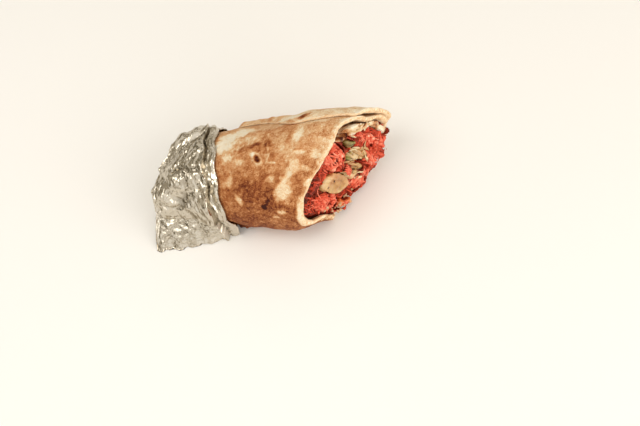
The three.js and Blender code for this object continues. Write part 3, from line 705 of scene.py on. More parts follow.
def catmull_rom(line, t):
    """Points on a smooth curve through the line's points, t from 0 to 1, and its direction there."""
    line = np.array([2 * np.array(line[0]) - line[1], *line, 2 * np.array(line[-1]) - line[-2]])
    place_on = np.clip(t, 0, 0.999999) * (len(line) - 3)
    i = np.floor(place_on).astype(int)
    u = (place_on - i)[:, None]
    a, b, c, d = (line[i + k] for k in range(4))
    square = 2 * a - 5 * b + 4 * c - d
    cube = 3 * b - a - 3 * c + d
    point = 0.5 * (2 * b + (c - a) * u + square * u**2 + cube * u**3)
    slope = 0.5 * (c - a + 2 * square * u + 3 * cube * u**2)
    return point, slope / np.linalg.norm(slope, axis=1, keepdims=True)


def tongue_face(name, side):
    """One face of the inner end of the bread, which curls up between the roll and its filling."""
    face, lengthwise, to_cut, _, _, from_border = bordered_grid(name, **TONGUE_GRID)
    part = 1 - (1 - to_cut) ** 2.4
    middle, slope = catmull_rom(TONGUE_LINE, lengthwise)
    flat = on_surface(lengthwise * TONGUE_SPAN, part * TONGUE_LENGTH)
    wavy = 0.6 * lumps(flat, 6, 21) + 0.3 * lumps(flat, 2.6, 25)
    folded = TONGUE_FOLD["thick"] * bump(lengthwise - TONGUE_FOLD["at"], TONGUE_FOLD["spread"])
    folded = folded * smooth(TONGUE_FOLD["start"], 1, part)
    off = wavy + side * TONGUE_THICK / 2 * from_border - folded * (from_border if side < 0 else 0)
    y = middle[:, 0] - slope[:, 1] * off
    z = middle[:, 1] + slope[:, 0] * off

    along_end = on_surface(lengthwise * TONGUE_SPAN, 0 * part)
    ripple = 0.9 * np.sin(lengthwise * 19.5) + 0.8 * lumps(along_end, 3, 26)
    end = cut_x(y, z) - TONGUE_BACK + ripple
    across_cut = np.stack([0 * y, y, z], -1)
    broken = 1.6 * ridges(across_cut, 3.6, 27) + 0.6 * lumps(across_cut, 1.6, 22) - 1.1
    x = mix(BREAD_LEFT + 2, end, part) + broken * (0.25 + 0.75 * clamp(folded)) * smooth(0.97, 1, part)
    scale = half_width(x) / CUT_HALF_WIDTH
    points = np.stack([x, axis_y(x) + y * scale, axis_height(x) + (z - AXIS_AT_CUT) * scale], -1)
    place(face, points)
    # painted shade: browner towards its end at the top left, which lies in the rim's shade; also brown
    # lines along ridges and random mottling
    darkened = 0.3 * smooth(0.72, 0.95, lengthwise) + 0.4 * smooth(0.4, 0.95, ridges(points, 4.5, 28))
    darkened = darkened + 0.34 * lumps(points, 4, 23) + 0.2 * lumps(points, 1.8, 24)
    note(face, "brown", 0.2 + darkened - 0.2 * broken)
    note(face, "crumb", clamp(0.9 - from_border) * clamp(0.4 + 0.5 * broken))
    return face


def make_bread():
    faces = [sheet_face("naan_outer", False), sheet_face("naan_inner", True)]
    sheet = join(faces, "naan_roll")
    tongue = join([tongue_face("tongue_upper", 1), tongue_face("tongue_under", -1)], "naan_tongue")
    return join([sheet, tongue], "naan_roll")


def griddled_flatbread():
    """Griddled wheat flatbread: matt and dry, mottled brown over cream, finely pored, with a
    cream crumb where it is cut."""
    material, tree, shader, spot = new_material(
        "griddled_flatbread", Roughness=0.7, Specular_IOR_Level=0.2)
    brown = add(tree, "ShaderNodeAttribute", attribute_name="brown").outputs["Fac"]
    crumb = add(tree, "ShaderNodeAttribute", attribute_name="crumb").outputs["Fac"]
    mottle = add(tree, "ShaderNodeTexNoise", {
        "Vector": spot, "Scale": per(1.7), "Detail": 5.0, "Roughness": 0.7})
    grain = add(tree, "ShaderNodeTexNoise", {
        "Vector": spot, "Scale": per(0.55), "Detail": 3.0, "Roughness": 0.6})
    wrinkled = add(tree, "ShaderNodeTexNoise", {
        "Vector": spot, "Scale": per(3.4), "Detail": 3.0, "Distortion": 1.2})
    wrinkled = add(tree, "ShaderNodeMath", {0: wrinkled, 1: 0.5}, operation="SUBTRACT")
    wrinkled = add(tree, "ShaderNodeMath", {0: wrinkled}, operation="ABSOLUTE")
    lines = add(tree, "ShaderNodeMapRange", {0: wrinkled, 1: 0.0, 2: 0.035, 3: 1.0, 4: 0.0})
    baked = brown
    for pattern, weight in ((mottle, 0.6), (grain, 0.6), (lines, -0.17)):
        baked = add(tree, "ShaderNodeMath", {0: pattern, 1: weight, 2: baked}, operation="MULTIPLY_ADD")
    baked = add(tree, "ShaderNodeMath", {0: baked, 1: 0.57}, operation="SUBTRACT", use_clamp=True)
    colour = add(tree, "ShaderNodeValToRGB", {0: baked}, stops=[
        (0.0, "#F3E8D2"), (0.2, "#EBD4AF"), (0.36, "#DCB081"), (0.5, "#CA8E5C"), (0.64, "#AE6D3D"),
        (0.78, "#894720"), (0.9, "#5A200A"), (1.0, "#3B1004")])
    inside = add(tree, "ShaderNodeValToRGB", {0: mottle}, stops=[
        (0.32, "#CC9560"), (0.46, "#EBC798"), (0.62, "#FCEBCC")])
    base = add(tree, "ShaderNodeMix", {0: crumb, 6: colour, 7: inside}, data_type="RGBA")
    pores = add(tree, "ShaderNodeMath", {0: grain, 1: mottle}, operation="ADD")
    pores = add(tree, "ShaderNodeMath", {0: lines, 1: 0.35, 2: pores}, operation="MULTIPLY_ADD")
    relief = add(tree, "ShaderNodeBump", {"Height": pores, "Strength": 0.7, "Distance": 0.5 * MM})
    feed(tree, shader, {"Base Color": base, "Normal": relief})
    return material


# ---- the filling ----

# the slope of the fibres over the cut
FIBRE_TILT = {
    "chicken_1": 100, "chicken_2": 104, "chicken_3": 112, "chicken_4": 40, "chicken_5": 75,
    "chicken_6": 150,
}
# each slice by its middle on the cut, its length and breadth, and the slope of its length
SLICES = {
    "onion_1": (-6.8, 24, 26, 13, 113), "onion_2": (3.4, 18.5, 17, 4.8, 121),
    "onion_3": (13, 24, 19, 5, 110), "onion_4": (8.6, 17.5, 10, 3.8, 101),
    "pepper_1": (10.6, 39.5, 9, 3.6, 115), "pepper_2": (7.6, 29.5, 9.5, 4, 108),
}
BROAD_SLICE = "onion_1"
CUT_OUT = Vector((1, -SLANT, -LEAN)).normalized()
# the part of the cut that lies in the shade of the rim at its front, from the axis and round it
SHELTERED = {"start": 13, "end": 25, "at": 145, "spread": 45}
# where the heap becomes broken up, before the cut, and where it has to keep clear of the bread
BROKEN_UP = {"start": -16, "end": -6}
BESIDE_BREAD = {"start": 24, "end": 28}
# how finely the chunks, the heap behind them and the slices are remeshed
VOXEL = {"chunk": 0.32, "heap": 0.62, "slice": 0.34}
# where light falls between the pieces: y, z, how broad, how far it reaches and how bright
LIT_PLACES = [(23, 24, 1, 10, 0.3), (5, 10, 2, 7, 0.22)]


def fibre_frame(points, tilt, stretch):
    """Points squeezed along the fibres, so that a pattern on them comes out drawn out that way."""
    along, across = turned(points[:, 1], points[:, 2], tilt)
    return np.stack([points[:, 0], along / stretch, across], -1)


def facing(out):
    """How far each normal looks out of the cut, from 0 to 1."""
    return clamp(out @ np.array(CUT_OUT))


def make_chicken(name, seed):
    """A chunk of pulled chicken: clumped, torn into fibres, wet with red sauce."""
    piece, points, out = from_node(name, VOXEL["chunk"], 8)
    tilt = FIBRE_TILT[name]
    clumps = 0.9 * lumps(points, 4.6, seed) + 0.6 * lumps(fibre_frame(points, tilt, 1.5), 2.5, seed + 1)
    strands = 0.5 * ridges(fibre_frame(points, tilt, 2.8), 2.1, seed + 2)
    strands = strands + 0.16 * ridges(fibre_frame(points, tilt, 2.5), 1.1, seed + 3)
    height = clumps + strands - 0.5
    place(piece, points + out * height[:, None])
    # painted shade and light: darker on sides turned from the cut and in deep hollows, lighter on raised
    # clumps
    shaded = 0.3 * smooth(0.5, 0.05, facing(out)) + 0.12 * smooth(-0.4, -1.4, height)
    note(piece, "tone", clamp(0.6 + 0.36 * height - shaded + 0.1 * lumps(points, 1.5, seed + 4)))
    oiled = 0.9 if name == "chicken_6" else clamp(0.8 * lumps(points, 4.5, seed + 5) - 0.3)
    note(piece, "stain", oiled)
    return piece


def sheltered(y, z):
    """How far a place on the cut lies in the shade of the rim at its front, from 0 to 1."""
    angle = np.degrees(np.arctan2(z - AXIS_AT_CUT, y))
    return ramp(SHELTERED, np.hypot(y, z - AXIS_AT_CUT)) * around_at(SHELTERED, angle)


def make_core():
    """The heap behind the pieces: painted dark as the shade in the gaps between them, broken into lumps."""
    piece, points, out = from_node("filling", VOXEL["heap"], 4)
    near_cut = ramp(BROKEN_UP, points[:, 0] - cut_x(points[:, 1], points[:, 2]))
    from_axis = np.hypot(points[:, 1], points[:, 2] - AXIS_AT_CUT)
    grain = fibre_frame(points, 65, 2.2)
    height = 0.9 * lumps(points, 4.2, 61) + 0.6 * lumps(grain, 2.4, 64) + 0.6 * ridges(grain, 2.3, 62) - 0.7
    height = height - np.maximum(height, 0) * ramp(BESIDE_BREAD, from_axis)
    place(piece, points + out * (height * near_cut)[:, None])
    y, z = points[:, 1], points[:, 2]
    shade_at = sheltered(y, z)
    # painted shade and light: darker in the rim's shade and in hollows, lighter on raised lumps and at the
    # lit places
    tone = 0.3 - 0.46 * shade_at + 0.4 * height
    for lit_y, lit_z, broad, reach, bright in LIT_PLACES:
        tone = tone + bright * bump(np.hypot((y - lit_y) / broad, z - lit_z), reach)
    tone = tone + 0.2 * lumps(grain, 1.9, 66) + 0.08 * lumps(points, 1.3, 63)
    note(piece, "tone", clamp(np.maximum(tone, 0.18 * (1 - shade_at))))
    note(piece, "stain", clamp(0.9 * lumps(points, 5, 65) - 0.25))
    return piece


def make_slice(name, seed):
    """A slice of cooked onion or pepper, layered along its length; the broad one is cupped."""
    y, z, long, short, tilt = SLICES[name]
    broad = name == BROAD_SLICE
    piece, points, out = from_node(name, VOXEL["slice"], 9)
    along, across = turned(points[:, 1] - y, points[:, 2] - z, tilt)
    front = smooth(0.15, 0.6, facing(out))
    layers = np.abs(np.sin(across * 1.1 + 1.1 * lumps(points, 5, seed) + seed)) ** 0.5 - 0.7
    layers = layers * (0.35 if broad else 1)
    height = 0.5 * layers + 0.4 * lumps(points, 5, seed + 1) + 0.14 * lumps(points, 1.9, seed + 2)
    if broad:
        from_middle = np.hypot(along / (long / 2), across / (short / 2))
        cupped = 0.5 * bump(from_middle - 0.9, 0.16) - 1.3 * (1 - smooth(0.35, 0.85, from_middle))
        height = height + front * cupped
    warp = np.stack([0 * along, lumps(points, 4.2, seed + 6), lumps(points, 4.2, seed + 7)], -1)
    place(piece, points + out * height[:, None] + 1.3 * warp)
    pale = 0.44 if broad else 0.52
    # painted shade on sides turned from the cut and painted light on raised parts, over the layering
    note(piece, "tone", clamp(pale + 0.4 * layers * front + 0.2 * height - 0.22 * (1 - facing(out))))
    stain = 0.3 + 0.9 * lumps(points, 3, seed + 3)
    if broad:
        stain = 0.36 + 0.36 * lumps(points, 4, seed + 3) - 0.3 * across / (short / 2)
    note(piece, "stain", clamp(stain))
    return piece


SHRED_COUNT = 200
STRAND_STEPS = 7
LONGEST_DROP = 2.2
ABOVE_CUT = 12
OPENING = {"half_width": 31, "half_height": 28}
# the middle line of the shreds that hang over the broad slice: y, z and how proud of the cut
HANGING_SHRED = [(-2.6, 33, 0.4), (-1.4, 30.8, 0.9), (-1.8, 28, 1.1), (-0.6, 26, 1.0), (-0.8, 23.6, 0.7)]
# how far each of them lies to the side of that line, and its radius
HANGING_STRANDS = [(0, 0.75), (1.1, 0.6), (-1.0, 0.5), (2.0, 0.4)]


def surfaces(pieces):
    """What a falling strand would land on: every piece's faces, and which piece each belongs to."""
    faces, owners = [], []
    count = 0
    for piece in pieces:
        faces += [tuple(v + count for v in polygon.vertices) for polygon in piece.data.polygons]
        owners += [piece.name] * len(piece.data.polygons)
        count += len(piece.data.vertices)
    points = np.concatenate([points_of(piece) for piece in pieces])
    return BVHTree.FromPolygons(points.tolist(), faces), owners


def land(ground, y, z, kept_off):
    """Where something laid on the cut comes to lie: the point, the surface's normal and the name
    of the piece, or nothing where it misses or meets a piece that it is kept off."""
    tree, owners = ground
    start = Vector((SLANT * y + LEAN * (z - AXIS_AT_CUT), y, z)) + CUT_OUT * ABOVE_CUT
    hit, normal, index, _ = tree.ray_cast(start, -CUT_OUT, 2.5 * ABOVE_CUT)
    if hit is None or owners[index].startswith(kept_off):
        return None
    return hit, normal, owners[index]


def strand_model():
    """A long ball, and for each of its vertices the share of its length, how full it is there and
    the way round it."""
    model, directions = ball(9, 6)
    share = np.arccos(np.clip(directions[:, 2], -1, 1)) / math.pi
    ring = np.hypot(directions[:, 0], directions[:, 1])
    spin = np.arctan2(directions[:, 1], directions[:, 0])
    return model, (share, np.where(ring > 1e-6, np.sin(np.pi * share) ** 0.45, 0), spin)


def strand_points(path, rings, radius, flatness):
    """One strand's points: the ball's rings strung along the path."""
    share, fullness, spin = rings
    path = np.array(path)
    steps = len(path) - 1
    spot = share * steps
    i = np.minimum(spot.astype(int), steps - 1)
    t = (spot - i)[:, None]
    middle = path[i] * (1 - t) + path[i + 1] * t
    along = path[i + 1] - path[i]
    along = along / np.linalg.norm(along, axis=1, keepdims=True)
    side = np.cross(along, np.array(CUT_OUT))
    side = side / np.linalg.norm(side, axis=1, keepdims=True)
    over = np.cross(side, along)
    wide = (radius * fullness * np.cos(spin))[:, None]
    high = (radius * flatness * fullness * np.sin(spin))[:, None]
    return middle + side * wide + over * high


def strand_path(ground, y, z, heading, length, curl, lift, kept_off):
    """A path over the filling's surface, or nothing where it would leave it or cross kept_off."""
    path = []
    step = length / STRAND_STEPS
    for k in range(STRAND_STEPS + 1):
        landed = land(ground, y, z, kept_off)
        if landed is None:
            return None
        arch = lift * math.sin(math.pi * k / STRAND_STEPS)
        path.append(landed[0] + landed[1] * 0.15 + CUT_OUT * arch)
        y += math.cos(heading) * step
        z += math.sin(heading) * step
        heading += curl / STRAND_STEPS
    longest = max((end - start).length for start, end in itertools.pairwise(path))
    return None if longest > step + LONGEST_DROP else path


def spot_on_cut(rng, low=0, high=360, least=0.0, most=0.96):
    """A place on the cut, between two angles and two shares of the way out to the bread."""
    angle = math.radians(rng.uniform(low, high))
    away = math.sqrt(rng.uniform(least**2, most**2))
    y = away * OPENING["half_width"] * math.cos(angle)
    return y, AXIS_AT_CUT + away * OPENING["half_height"] * math.sin(angle)


def loose_tone(rng, owner, y, z, darkest):
    """How light a loose bit of chicken is: darker on the heap and in the shade of the rim."""
    low, high = (darkest, 0.6) if owner.startswith("filling") else (0.5, 0.8)
    return rng.uniform(low, high) - 0.3 * sheltered(y, z)


def make_shreds(ground):
    """The torn fibres of the chicken, lying over the chunks and the heap."""
    rng = np.random.default_rng(17)
    model, rings = strand_model()
    sets, tones = [], []
    while len(sets) < SHRED_COUNT:
        kept_off = ("onion", "pepper", "naan") if len(sets) % 12 else ("naan", BROAD_SLICE)
        y, z = spot_on_cut(rng)
        landed = land(ground, y, z, kept_off)
        if landed is None:
            continue
        owner = landed[2]
        tilt = FIBRE_TILT.get(owner.replace("_form", ""), rng.uniform(60, 150))
        heading = math.radians(tilt + rng.normal(0, 16))
        path = strand_path(ground, y, z, heading, rng.uniform(3.5, 9), rng.normal(0, 0.6),
                           rng.uniform(-0.3, 0.3), kept_off)
        if path is not None:
            sets.append(strand_points(path, rings, rng.uniform(0.3, 0.65), 0.8))
            tones.append(loose_tone(rng, owner, y, z, 0.35))
    hanging = [Vector((cut_x(y, z) + proud, y, z)) for y, z, proud in HANGING_SHRED]
    for offset, radius in HANGING_STRANDS:
        path = [spot + Vector((0.3 * offset, offset, 0.4 * offset)) for spot in hanging]
        sets.append(strand_points(path, rings, radius, 0.8))
        tones.append(0.6)
    return copies("chicken_shreds", model, sets, tones)


# tangles of thin onion: the middle of each on the cut, the slope of its strips, how many are laid
ONION_TANGLES = [(12, 25, 112, 18), (7.5, 33, 100, 12), (8, 19, 120, 9), (14, 48, 135, 9), (21, 41, 120, 6)]


def make_onion_strands(ground):
    """Thin strips of onion over the slices at the back, and on the bread that curls up above."""
    rng = np.random.default_rng(29)
    model, rings = strand_model()
    sets, tones = [], []
    for y, z, slope, count in ONION_TANGLES:
        for _ in range(count):
            heading = math.radians(rng.normal(slope, 22))
            path = strand_path(ground, rng.normal(y, 2.2), rng.normal(z, 3.2) - 2, heading,
                               rng.uniform(4.5, 10), rng.normal(0, 0.8), rng.uniform(0.1, 0.9), ())
            if path is not None:
                sets.append(strand_points(path, rings, rng.uniform(0.5, 1.1), 0.4))
                tones.append(rng.uniform(0.2, 0.8))
    piece = copies("onion_strands", model, sets, tones)
    note(piece, "stain", 0.9 * (1 - np.repeat(tones, len(rings[0]))))
    return piece


def make_crumbs(name, ground, count, sizes, seed, kept_off=("naan",), **places):
    """Small broken lumps that lie half sunk in what is under them."""
    rng = np.random.default_rng(seed)
    model, directions = ball(6, 8)
    sets, tones = [], []
    while len(sets) < count:
        y, z = spot_on_cut(rng, **places)
        landed = land(ground, y, z, kept_off)
        if landed is None:
            continue
        hit, normal, owner = landed
        size = rng.uniform(*sizes)
        uneven = 1 + 0.5 * lumps(directions * 2.1, 1.5, seed + len(sets))
        stretch = rng.uniform(0.6, 1.25, 3)
        middle = np.array(hit + normal * size * 0.25)
        sets.append(directions * stretch * (size * uneven)[:, None] + middle)
        tones.append(loose_tone(rng, owner, y, z, 0.3))
    return copies(name, model, sets, tones)


def tandoori_chicken():
    """Pulled chicken in red spiced sauce: fibrous, wet and glossy, with painted shade in its hollows and
    gaps and painted light on its crests, carried by its tone.
    """
    material, tree, shader, spot = new_material(
        "tandoori_chicken", Roughness=0.42, Specular_IOR_Level=0.4, Specular_Tint=paint("#F4A882"),
        Subsurface_Weight=0.12, Subsurface_Scale=0.0012, Subsurface_Radius=(1.0, 0.3, 0.2))
    tone = add(tree, "ShaderNodeAttribute", attribute_name="tone").outputs["Fac"]
    oiled = add(tree, "ShaderNodeAttribute", attribute_name="stain").outputs["Fac"]
    fleck = add(tree, "ShaderNodeTexNoise", {
        "Vector": spot, "Scale": per(1.3), "Detail": 4.0, "Roughness": 0.6})
    mixed = add(tree, "ShaderNodeMath", {0: fleck, 1: 0.44, 2: tone}, operation="MULTIPLY_ADD")
    mixed = add(tree, "ShaderNodeMath", {0: mixed, 1: 0.22}, operation="SUBTRACT", use_clamp=True)
    red = add(tree, "ShaderNodeValToRGB", {0: mixed}, stops=[
        (0.0, "#3C0C06"), (0.14, "#6A1B0E"), (0.28, "#9E301D"), (0.42, "#C8472F"), (0.57, "#E0624A"),
        (0.77, "#F48D70"), (1.0, "#FDC4A8")])
    orange = add(tree, "ShaderNodeValToRGB", {0: mixed}, stops=[
        (0.0, "#64190A"), (0.25, "#A33D18"), (0.5, "#D3703C"), (0.76, "#F0A063"), (1.0, "#FBD2A2")])
    spiced = add(tree, "ShaderNodeMix", {0: oiled, 6: red, 7: orange}, data_type="RGBA")
    relief = add(tree, "ShaderNodeBump", {"Height": fleck, "Strength": 0.5, "Distance": 0.3 * MM})
    feed(tree, shader, {"Base Color": spiced, "Normal": relief})
    return material


def charred_spice():
    """Specks of charred spice and pepper: dry, nearly black and matt."""
    material, tree, shader, spot = new_material("charred_spice", Roughness=0.6)
    burnt = add(tree, "ShaderNodeTexNoise", {"Vector": spot, "Scale": per(3)})
    colour = add(tree, "ShaderNodeValToRGB", {0: burnt}, stops=[(0.35, "#1F0B05"), (0.65, "#5A2A10")])
    feed(tree, shader, {"Base Color": colour})
    return material


def cooked_vegetable(name, rough, stops):
    """Cooked onion or pepper: soft, wet and half clear, so light glows through thin edges."""
    material, tree, shader, spot = new_material(
        name, Roughness=rough, Coat_Weight=0.3, Coat_Roughness=0.15, Subsurface_Weight=0.25,
        Subsurface_Scale=0.0015, Subsurface_Radius=(1.0, 0.7, 0.35))
    tone = add(tree, "ShaderNodeAttribute", attribute_name="tone").outputs["Fac"]
    sauce = add(tree, "ShaderNodeAttribute", attribute_name="stain").outputs["Fac"]
    cloud = add(tree, "ShaderNodeTexNoise", {
        "Vector": spot, "Scale": per(2.4), "Detail": 4.0, "Roughness": 0.55})
    mixed = add(tree, "ShaderNodeMath", {0: cloud, 1: 0.6, 2: tone}, operation="MULTIPLY_ADD")
    mixed = add(tree, "ShaderNodeMath", {0: mixed, 1: 0.3}, operation="SUBTRACT", use_clamp=True)
    colour = add(tree, "ShaderNodeValToRGB", {0: mixed}, stops=stops)
    smeared = add(tree, "ShaderNodeMath", {0: sauce, 1: cloud}, operation="MULTIPLY", use_clamp=True)
    base = add(tree, "ShaderNodeMix", {0: smeared, 6: colour, 7: paint("#C2703A")}, data_type="RGBA")
    relief = add(tree, "ShaderNodeBump", {"Height": cloud, "Strength": 0.3, "Distance": 0.3 * MM})
    feed(tree, shader, {"Base Color": base, "Normal": relief})
    return material


# ---- the foil ----

# the rows along the foil and those of its closed end
FOIL_COLUMNS = 300
FOIL_ROWS = 112
CAP_ROWS = 36
# the shares of the columns that lie under the roll and on the apron's slope
UNDER_SHARE = 0.12
APRON_SHARE = 0.2
# the length round the foil, as its folds take it
SHEET_ROUND = 165
# where the top is pleated, where folds fan down the front, and where the apron is, by angle
TOP_PLEATS = {"at": 70, "spread": 40}
FANNED_FRONT = (112, 122, 180, 196)
APRON_FACE = (186, 200, 262, 270)
# the furrow below the pleats, and how deep the groove behind the hem is
FURROW = {"at": 113, "depth": 1.5, "reach": (7, 11, 26, 31)}
HEM_GROOVE = 1.1
# the finer folds: how high and how wide their facets are, the slope of the creases, how far they
# are drawn out along it, where they lie, and the seed of their pattern
FOIL_FOLDS = [
    (0.8, 6, 0, 1, "body", 31), (0.6, 3.1, 0, 1, "body", 32), (0.46, 1.7, 0, 1, "most", 33),
    (0.14, 0.95, 0, 1, "all", 37), (1.9, 3.3, -38, 9, "top", 34), (0.55, 1.4, -46, 7, "top", 39),
    (0.4, 1.0, -20, 3, "apron", 41), (0.75, 1.8, 25, 2.5, "apron", 36), (0.8, 2.4, 70, 4, "front", 38),
    (0.55, 1.9, 84, 3, "hem", 35), (0.4, 1.2, 60, 2, "hem", 42),
]


def crease_planes():
    """The folded planes of the solid, from the same draw of random numbers."""
    state = 7
    planes = []
    for i in range(CREASE_COUNT):
        drawn = []
        for _ in range(4):
            state = (state * 1664525 + 1013904223) % 4294967296
            drawn.append(state / 4294967296)
        way = np.array(drawn[:3]) - 0.5
        spacing = mix(CREASE_SPACING["widest"], CREASE_SPACING["closest"], i / (CREASE_COUNT - 1))
        planes.append((way / np.linalg.norm(way) / spacing, drawn[3], spacing * CREASE_STEEPNESS))
    return planes


CREASE_PLANES = crease_planes()


def crumple(points):
    """How far the solid's folds stand out at these points, in mm."""
    total = 0
    for way, phase, height in CREASE_PLANES:
        spot = points @ way + phase
        total = total + height * np.abs(spot - np.round(spot)) * 2
    return total


def facets(p, q, size, slant, stretch, seed):
    """Heights from -1 to 1 of flat facets with sharp creases between them, about size mm wide,
    drawn out stretch times along a direction slant degrees from p."""
    along, across = turned(p, q, slant)
    along = along / stretch
    rng = np.random.default_rng(seed)
    low = np.array([along.min(), across.min()]) - 2 * size
    high = np.array([along.max(), across.max()]) + 2 * size
    counts = np.ceil((high - low) / size).astype(int)
    spots = np.stack(np.meshgrid(*(np.arange(c) for c in counts), indexing="ij"), -1).reshape(-1, 2)
    spots = low + size * (spots + rng.uniform(-0.48, 0.48, spots.shape))
    heights = rng.uniform(-1, 1, len(spots))
    made = delaunay_2d_cdt([Vector(s) for s in spots], [], [], 0, 1e-6)
    raised = [(v.x, v.y, heights[source[0]]) for v, source in zip(made[0], made[3])]
    tree = BVHTree.FromPolygons(raised, made[2])
    down = Vector((0, 0, -1))
    return np.array([tree.ray_cast(Vector((a, b, 9)), down)[0].z for a, b in zip(along, across)])


def apron_edge(x):
    """How far forward the ragged edge of the apron lies, as Y."""
    ragged = 1.1 * np.sin(x / 2.3) * np.sin(x / 5.1 + 1) + 0.9 * np.abs(x / 4.3 - np.round(x / 4.3))
    return mix(APRON["near"], APRON["far"], ramp(APRON, x)) + ragged


def collar_x(angle):
    """Where the foil ends on the bread, round the roll: further to the right at the apron."""
    around = FOIL_COLLAR["x"] - FOIL_COLLAR["swing"] * cos(angle - FOIL_COLLAR["turned"])
    return mix(around + 0.6 * sin(9 * angle), APRON["right"], bump(turn(angle, 212), 14))


def corner_angle(x):
    """The angle at which the apron's edge meets the table, seen from the axis."""
    return 180 + np.degrees(np.arctan2(axis_height(x), -apron_edge(x)))


def foil_radius(angle, x, corner):
    """Across the foil: round the bread, and at the front out to the apron's edge and back below;
    beside the collar the apron lies against the bread down to near the table."""
    high = axis_height(x)
    edge = free_edge_angle(x)
    from_back = turn(angle, 0)
    on_lap = smooth(edge + COVERED_EDGE["over"], edge, from_back) * ramp(COVERED_EDGE, from_back)
    overlap = WRAP_STEP * on_lap
    around = roll_radius(angle, x) + charred_lip(angle, x) + overlap + FOIL_CLEAR
    top_radius = roll_radius(APRON["top"], x) + FOIL_CLEAR
    top_y, top_z = top_radius * cos(APRON["top"]), top_radius * sin(APRON["top"])
    side_y, side_z = apron_edge(x) - top_y, -high - top_z
    ray_y, ray_z = cos(angle), sin(angle)
    with np.errstate(divide="ignore", invalid="ignore"):
        apron = (top_y * side_z - top_z * side_y) / (ray_y * side_z - ray_z * side_y)
        below = -high / ray_z
    beside = smooth(APRON_HUG["length"], 0, collar_x(angle) - x)
    hug = beside * ramp(APRON_HUG, corner - angle)
    apron = mix(np.maximum(around, apron), around, hug)
    out = np.where(angle <= corner, apron, np.maximum(around, below))
    return np.where((angle < APRON["top"]) | (angle > 270), around, out)


def foil_angle(column, x):
    """Columns go from under the roll, forward to the apron's edge, over the top and back."""
    share = column / FOIL_COLUMNS
    corner = corner_angle(x)
    under = mix(270, corner, share / UNDER_SHARE)
    apron = mix(corner, APRON["top"], (share - UNDER_SHARE) / APRON_SHARE)
    rest = mix(APRON["top"], -90, (share - UNDER_SHARE - APRON_SHARE) / (1 - UNDER_SHARE - APRON_SHARE))
    return np.where(share <= UNDER_SHARE, under, np.where(share <= UNDER_SHARE + APRON_SHARE, apron, rest))


def crinkles(column, reach, from_collar, angle):
    """The finer folds, on top of the solid's: slanting pleats over the top, a furrow below them
    with folds fanning down from it, facets of four sizes, and a smoother band along the hem and
    over the apron. Also how deep in a crease each point is, as a mask for painted shade in the folds."""
    around = column / FOIL_COLUMNS * SHEET_ROUND
    hem = 1 - smooth(HEM["wide"] - 0.6, HEM["wide"] + 0.6, from_collar)
    top = around_at(TOP_PLEATS, angle)
    front, apron = span(FANNED_FRONT, angle), span(APRON_FACE, angle)
    body = (1 - hem) * (1 - 0.4 * apron) * (1 - 0.55 * top)
    places = {
        "all": 1, "most": 0.3 + 0.7 * body, "body": body, "hem": hem, "top": top * (1 - hem),
        "front": front * (1 - hem), "apron": apron * (1 - hem),
    }
    height = 0
    for high, size, slant, stretch, place_in, seed in FOIL_FOLDS:
        fold = facets(reach, around, size, slant, stretch, seed)
        height = height + high * fold * places[place_in]

    wavy = 0.5 * np.sin(around / 3.1) + 0.35 * np.sin(around / 1.3)
    in_groove = bump(from_collar - HEM["wide"] - 0.4 - 0.4 * wavy, 0.45)
    in_groove = in_groove * (0.65 + 0.35 * np.sin(around / 5))
    furrow = turn(angle, FURROW["at"]) * 0.4 + 0.8 * np.sin(reach / 2.6) + 0.3 * np.sin(reach / 0.9)
    furrow = bump(furrow, 1.2) * span(FURROW["reach"], reach)
    # painted shade: the groove behind the hem, the furrow and the hollows between facets are darkened
    creased = 0.8 * in_groove + 0.45 * furrow + 0.5 * smooth(-0.1, -1.5, height)
    off_seam = span((0, 0.03, 0.97, 1), column / FOIL_COLUMNS)
    height = (height - FURROW["depth"] * furrow) * off_seam - HEM_GROOVE * in_groove
    return height, clamp(creased)


def make_foil():
    wrap, column, row = flat_grid("foil_wrap", FOIL_COLUMNS, FOIL_ROWS + CAP_ROWS)
    lengthwise = clamp(row / FOIL_ROWS)
    cap = clamp((row - FOIL_ROWS) / CAP_ROWS)
    # the same way for the foil, between its collar and its closed end
    x = np.full_like(column, BREAD_LEFT)
    for _ in range(20):
        angle = foil_angle(column, x)
        corner = corner_angle(x)
        base = foil_radius(angle, x, corner)
        rough = on_roll(base, angle, x, 0)
        from_collar = collar_x(angle) - x
        hem = HEM["rise"] * smooth(HEM["wide"] + 1, HEM["wide"], from_collar)
        ears = sum(bump(x - ear_x, length) for ear_x, length in EAR_PLACES)
        ears = EARS["rise"] * around_at(EARS, angle) * ears
        folded = FOIL_CLOSING["share"] * ramp(FOIL_CLOSING, x)
        closing = 1 - folded * np.maximum(0, cos(angle - FOIL_CLOSING["toward"]))
        at_corner = bump(angle - corner, 2.5)
        creases = crumple(rough) * smooth(0, 1.5, from_collar - HEM["wide"]) * (1 - 0.7 * at_corner)
        radius = base * closing + hem + ears + creases
        points = on_roll(radius, angle, x, 0)
        end = FOIL_END["x"] + FOIL_END["slope"] * points[:, 1]
        x = mix(collar_x(angle), end, lengthwise)
    reach = from_collar + cap * CLOSED_END_REACH
    fine, creased = crinkles(column, reach, from_collar, angle)
    fine = fine - 0.9 * smooth(1.6, 0, from_collar)
    points = on_roll(np.maximum(radius + fine, base * closing - 0.15), angle, x, FOIL_THICK)

    # the closed end draws in to a point, dented by the same folds
    pole = np.array(FOIL_POLE)
    share = cap[:, None]
    capped = points * (1 - share) + pole * share
    dent = (crumple(points * 1.7) - 1) * 0.9 * np.sin(np.pi * cap) + 0.9 * fine * smooth(0, 0.1, cap)
    capped[:, 0] = capped[:, 0] - dent * (cap > 0) * (1 - smooth(0.93, 1, cap))
    capped[:, 2] = np.maximum(capped[:, 2], FOIL_THICK)
    place(wrap, np.where(share > 0, capped, points))
    note(wrap, "creased", creased)
    wrap = join([wrap], "foil_wrap", weld=0.01)
    apply_modifier(wrap, "SOLIDIFY", thickness=FOIL_THICK * MM, offset=-1)
    return wrap


